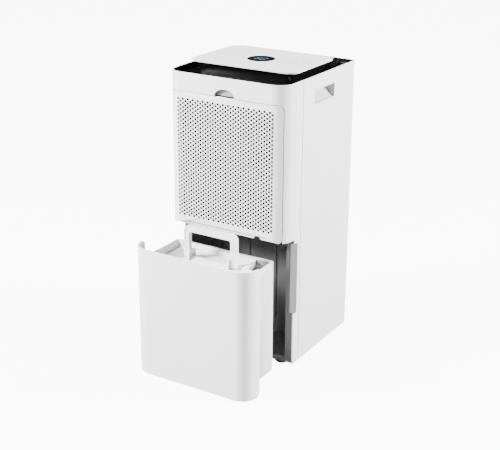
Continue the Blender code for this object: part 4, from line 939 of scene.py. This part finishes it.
bucket = as_piece(
    "bucket", tank_block(0, (tank_low.z, tank_high.z)), tank_white, "tank", edge=0.7 * MM
)
carve(bucket, tank_block(TANK_WALL, (tank_low.z + TANK_WALL, tank_high.z + 1 * MM)))
GROOVE_Y = cover_high.y + 4 * MM
for side in (-1, 1):
    x = (side * (tank_half - GROOVE_DEEP), side * (tank_half + 1 * MM))
    hook_z = (tank_high.z - HOOK_DROP - HOOK_TALL, tank_high.z - HOOK_DROP)
    groove_end = GROOVE_Y + GROOVE_WIDE
    carve(bucket, slab(x, (GROOVE_Y, groove_end), (tank_low.z - 1 * MM, hook_z[1])))
    carve(bucket, slab(x, (GROOVE_Y - HOOK_LONG, groove_end), hook_z))
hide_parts("tank_body")


# ---- tank lid ------------------------------------------------------------------------------------
# Snap-on white lid, sunk like a tray inside a stepped rim. It has the oval inlet below the drip
# spout, a stepped rib across, the two ears that hold the handle's pins and the float's hangers.
LID_SINK = 11 * MM
STEP = 2.2 * MM
rim_top = tank_high.z + 2.5 * MM
lid_floor = lid_high.z
for vert_z in sorted({round(vert.co.z, 5) for vert in nodes["tank_lid"].data.vertices}):
    if abs(vert_z - (rim_top - LID_SINK)) < 0.4 * MM:
        lid_floor = vert_z
lid_rim = tank_block(0, (tank_high.z + 0.3 * MM, rim_top))
lid = as_piece("lid_tray", lid_rim, tank_white, "tank", edge=0.5 * MM)
carve(lid, tank_block(TANK_WALL + 0.6 * MM, (lid_floor - 2 * MM, rim_top - 1 * MM)), "UNION")
carve(lid, tank_block(TANK_WALL + 2.0 * MM, (rim_top - STEP, rim_top + 1 * MM)))
carve(lid, tank_block(TANK_WALL + 5.0 * MM, (lid_floor + STEP, rim_top + 1 * MM)))
carve(lid, tank_block(TANK_WALL + 7.5 * MM, (lid_floor, rim_top + 1 * MM)))
handle_low, handle_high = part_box("handle")
pin_low, pin_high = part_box("handle_pin_left")
pin_y, pin_z = (pin_low.y + pin_high.y) / 2, (pin_low.z + pin_high.z) / 2
HANDLE_BAR, PIN_BORE = 13 * MM, 3.2 * MM
INLET_HALF_LONG, INLET_HALF_WIDE = 42 * MM, 22 * MM
inlet_y = pin_y - 10 * MM - 2 * INLET_HALF_WIDE


def oval(spread, low, high):
    """Drum with the inlet's outline, `spread` wider all round, between two heights on the lid."""
    shape = drum(1, lid_floor + low, lid_floor + high, (0, 0, 0), steps=48)
    size = (INLET_HALF_LONG + spread, INLET_HALF_WIDE + spread, 1)
    bmesh.ops.scale(shape, verts=shape.verts, vec=size)
    bmesh.ops.translate(shape, verts=shape.verts, vec=(0, inlet_y, 0))
    return shape


carve(lid, oval(4 * MM, -1 * MM, 1.6 * MM), "UNION")
carve(lid, oval(2 * MM, 0.8 * MM, 4 * MM))
carve(lid, oval(0, -6 * MM, 4 * MM))
ear_outer = handle_high.x - HANDLE_BAR - 0.3 * MM
EAR_WALL, EAR_HALF = 4 * MM, 13 * MM
for side in (-1, 1):
    ear_x = (side * (ear_outer - EAR_WALL), side * ear_outer)
    ear_z = (lid_floor - 1 * MM, pin_z + EAR_HALF)
    ear = slab(ear_x, (pin_y - EAR_HALF, pin_y + EAR_HALF), ear_z)
    round_off(ear, 6 * MM, 6, lambda at, along: abs(along.x) > 0.9 and at.z > pin_z)
    carve(lid, ear, "UNION")
    carve(lid, drum(PIN_BORE, -8 * MM, 8 * MM, (side * ear_outer, pin_y, pin_z), "X", steps=24))
rib_half = ear_outer - 2 * MM
for wide, rise in ((10 * MM, 1.5 * MM), (7 * MM, 4.0 * MM), (3.5 * MM, 6.5 * MM)):
    rib_z = (lid_floor - 1 * MM, lid_floor + rise)
    carve(lid, slab((-rib_half, rib_half), (pin_y - wide, pin_y + wide), rib_z), "UNION")
POUR_WIDE, POUR_DEEP, POUR_EDGE = 34 * MM, 52 * MM, 3.5 * MM
POUR_COLLAR, POUR_SLANT = 2.5 * MM, 12 * MM
pour_right, pour_rear = (end - TANK_WALL - POUR_EDGE for end in (tank_half, tank_high.y))
pour_x, pour_y = (pour_right - POUR_WIDE, pour_right), (pour_rear - POUR_DEEP, pour_rear)
collar_x, collar_y = ((low - POUR_COLLAR, high + 2 * MM) for low, high in (pour_x, pour_y))
carve(lid, slab(collar_x, collar_y, (lid_floor - 1 * MM, rim_top - 3 * MM)), "UNION")
pour = slab(pour_x, pour_y, (lid_low.z - 20 * MM, rim_top + 1 * MM))
for vert in pour.verts:
    if vert.co.x < pour_x[0] + 1 * MM and vert.co.y < pour_y[0] + 1 * MM:
        vert.co.x += POUR_SLANT
carve(lid, pour)
hollow_x = (16 * MM - tank_half, 52 * MM - tank_half)
hollow_y = (tank_low.y + 30 * MM, tank_high.y - 22 * MM)
hollow = slab(hollow_x, hollow_y, (lid_floor - 1.2 * MM, lid_floor + 3 * MM))
for vert in hollow.verts:
    if vert.co.z < lid_floor and vert.co.x < hollow_x[0] + 4 * MM:
        vert.co.z = lid_floor + 0.5 * MM
carve(lid, hollow)
_, float_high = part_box("tank_float")
float_y, float_z = float_high.y - 4 * MM, float_high.z - 4 * MM
for side in (-1, 1):
    x = (side * (float_high.x + 1.5 * MM), side * (float_high.x + 4.5 * MM))
    hanger = slab(x, (float_y - 5 * MM, float_y + 5 * MM), (float_z - 6 * MM, lid_floor - 1 * MM))
    carve(lid, hanger, "UNION")
# Mid grey round the oval inlet, in the pour pocket and in the shallow hollow: painted shade in the
# lid's recesses.
painted_lid_shade = plastic("painted_lid_shade", (0.4, 0.4, 0.405), 0.4, drift=0.04, rub=0.08, ripple=0.05)
inlet_x = (-INLET_HALF_LONG - 3 * MM, INLET_HALF_LONG + 3 * MM)
inlet_reach = (inlet_y - INLET_HALF_WIDE - 3 * MM, inlet_y + INLET_HALF_WIDE + 3 * MM)
for x, y, z in (
    (inlet_x, inlet_reach, (lid_floor - 3 * MM, lid_floor + 1.4 * MM)),
    (
        (pour_x[0] - 1 * MM, pour_x[1] + 0.5 * MM),
        (pour_y[0] - 1 * MM, pour_y[1] + 0.5 * MM),
        (lid_floor - 20 * MM, rim_top - 3.5 * MM),
    ),
    (
        (hollow_x[0] - 1 * MM, hollow_x[1] + 1 * MM),
        (hollow_y[0] - 1 * MM, hollow_y[1] + 1 * MM),
        (lid_floor - 2 * MM, lid_floor + 0.2 * MM),
    ),
):
    paint_shade_on_faces(lid, painted_lid_shade, (x[0], y[0], z[0]), (x[1], y[1], z[1]))
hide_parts("tank_lid")


# ---- folding handle ------------------------------------------------------------------------------
# White ABS bail with a 13 mm bar. A shallow groove runs along the front of it, and a steel pin
# through each foot joins it to the lid's ears.
TRACK_DEEP = 0.8 * MM
upper_turns = lambda at, along: abs(along.y) > 0.9 and at.z > pin_z
bail = outline_block(handle_low, handle_high, 0, (handle_low.z, handle_high.z))
round_off(bail, HANDLE_BAR, 10, upper_turns)
round_off(bail, 4.6 * MM, 6, lambda at, along: abs(along.x) > 0.9 and at.z < pin_z)
handle_piece = as_piece("bail_handle", bail, white_abs, "handle", edge=0.9 * MM, steps=4)
grip_x = (handle_low.x + HANDLE_BAR, handle_high.x - HANDLE_BAR)
grip = slab(grip_x, (-1, 1), (handle_low.z - 1 * MM, handle_high.z - HANDLE_BAR))
round_off(grip, 4 * MM, 6, upper_turns)
carve(handle_piece, grip)
track_x = (handle_low.x + 3.5 * MM, handle_high.x - 3.5 * MM)
track_y = (handle_low.y - 1 * MM, handle_low.y + TRACK_DEEP)
track = slab(track_x, track_y, (handle_low.z + 12 * MM, handle_high.z - 3.5 * MM))
round_off(track, 9.5 * MM, 8, upper_turns)
inside_track = as_piece("inside_track", track, white_abs, "handle")
core_x = (handle_low.x + 6 * MM, handle_high.x - 6 * MM)
core = slab(core_x, (-1, 1), (handle_low.z, handle_high.z - 6 * MM))
round_off(core, 7 * MM, 8, upper_turns)
carve(inside_track, core)
track = bmesh.new()
track.from_mesh(inside_track.data)
bpy.data.objects.remove(inside_track)
carve(handle_piece, track)
for side in (-1, 1):
    bore_middle = (side * (handle_high.x - HANDLE_BAR), pin_y, pin_z)
    carve(handle_piece, drum(PIN_BORE, -9.2 * MM, 9.2 * MM, bore_middle, "X", steps=24))
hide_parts("handle")


# ---- tank bay ------------------------------------------------------------------------------------
# Satin dark grey liner, moulded in one with the flanges behind the frame. Upright steps in its rear
# wall stop the tank, and its floor falls a little to the front so that drips run out.
bay_grey = plastic("bay_grey", (0.075, 0.075, 0.076), 0.45, drift=0.15, rub=0.1, ripple=0.15)
LINER_WALL = 2 * MM
bay_back = liner_high.y - LINER_WALL
bay_ceiling = liner_high.z - LINER_WALL
FLOOR_RISE, SILL_TOP, STEP_DEEP = 8 * MM, 25 * MM, 2.4 * MM
block_half = bay_half + LINER_WALL
block_y = (frame_y + 0.3 * MM, liner_high.y)
block = slab((-block_half, block_half), block_y, (liner_low.z, liner_high.z))
lining = as_piece("bay_lining", block, bay_grey, "casing", edge=0.5 * MM, steps=2)
bay_z = (liner_low.z + LINER_WALL, bay_ceiling)
bay = slab((-bay_half, bay_half), (frame_y - 10 * MM, bay_back), bay_z)
for vert in bay.verts:
    if vert.co.z < bay_ceiling - 1 * MM and vert.co.y > 0:
        vert.co.z += FLOOR_RISE
carve(lining, bay)
shelf_x, shelf_y = (1 * MM - bay_half, bay_half - 1 * MM), (liner_low.y, frame_y + 6 * MM)
shelf = slab(shelf_x, shelf_y, (bay_ceiling + 0.3 * MM, liner_high.z - 0.3 * MM))
carve(lining, shelf, "UNION")
for side in (-1, 1):
    flange = slab(
        (side * (bay_half + 1 * MM), side * liner_high.x),
        (frame_y + 0.5 * MM, frame_y + LINER_WALL),
        (liner_low.z + 1 * MM, bay_top - 1 * MM),
    )
    carve(lining, flange, "UNION")
    carve(lining, finger_scoop(side))
sill_y, sill_z = (frame_y + 0.5 * MM, frame_y + LINER_WALL), (liner_low.z + 0.5 * MM, SILL_TOP)
carve(lining, slab((-bay_half, bay_half), sill_y, sill_z), "UNION")
STEP_LEFT_RIGHT_LOW_HIGH = (
    (-108, -92, 30, 280),
    (-60, -22, 60, 286),
    (20, 44, 60, 286),
    (88, 110, 24, 280),
)
for ends in STEP_LEFT_RIGHT_LOW_HIGH:
    left, right, low, high = (end * MM for end in ends)
    step = slab((left, right), (bay_back - STEP_DEEP, bay_back + 1 * MM), (low, high))
    carve(lining, step, "UNION")
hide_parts("bay_liner")


# ---- works ---------------------------------------------------------------------------------------
# Pan, plates and air path in dark grey ABS, zinc-plated brackets and screws, an enamelled
# compressor, aluminium coils, copper pipes and soft black rubber feet and seals.
dress(bay_grey, "base_pan", "mid_plate", "drip_tray", "fan_scroll", "fan_wheel", "electronics_box")
rubber = plastic("soft_rubber", (0.018, 0.018, 0.018), 0.7, drift=0.3, rub=0.15, ripple=0.5)
feet = [f"foot_{end}_{side}" for end in ("front", "rear") for side in ("left", "right")]
dress(rubber, *feet, "compressor_mount_1", "compressor_mount_2", "compressor_mount_3")
dress(rubber, "drain_port", "drain_cap", "cord_gland")
dress(piano_black, "bucket_switch", "bucket_switch_lever")
dress(plastic("foam_white", (0.78, 0.79, 0.8), 0.6, drift=0.05, ripple=0.4), "tank_float")
dress(plastic("compressor_enamel", (0.012, 0.012, 0.013), 0.28, drift=0.2, coat=0.4), "compressor")


def metal(name, colour, roughness, tarnish):
    """Bare or plated metal whose tone and polish drift with its tarnish."""
    made = plastic(name, colour, roughness, drift=tarnish, rub=tarnish, ripple=0.1)
    made.node_tree.nodes["Principled BSDF"].inputs["Metallic"].default_value = 1.0
    return made


zinc = metal("zinc_plate", (0.6, 0.61, 0.62), 0.32, 0.15)
dress(zinc, "handle_pin_left", "handle_pin_right", "fan_motor", "motor_bracket", "run_capacitor")
dress(
    zinc, *[f"rear_screw_{place}_{side}" for place in ("top", "low") for side in ("left", "right")]
)
dress(
    metal("pipe_copper", (0.72, 0.36, 0.2), 0.3, 0.3),
    "suction_pipe",
    "discharge_pipe",
    "filter_drier",
)
FIN_PITCH = 1.8 * MM
coil_fins = metal("coil_fins", (0.7, 0.71, 0.72), 0.38, 0.1)
tree = coil_fins.node_tree
lines, edge_bump = tree.nodes.new("ShaderNodeTexWave"), tree.nodes.new("ShaderNodeBump")
lines.inputs["Scale"].default_value = 2 * math.pi / (20 * FIN_PITCH)
place = tree.nodes.new("ShaderNodeTexCoord")
tree.links.new(place.outputs["Object"], lines.inputs["Vector"])
tree.links.new(lines.outputs["Fac"], edge_bump.inputs["Height"])
edge_bump.inputs["Strength"].default_value = 0.8
edge_bump.inputs["Distance"].default_value = 0.6 * MM
tree.links.new(edge_bump.outputs["Normal"], tree.nodes["Principled BSDF"].inputs["Normal"])
dress(coil_fins, "evaporator", "condenser")
board_green = plastic("board_green", (0.015, 0.12, 0.05), 0.35, drift=0.4, rub=0.2, ripple=0.6)
dress(board_green, "control_board")
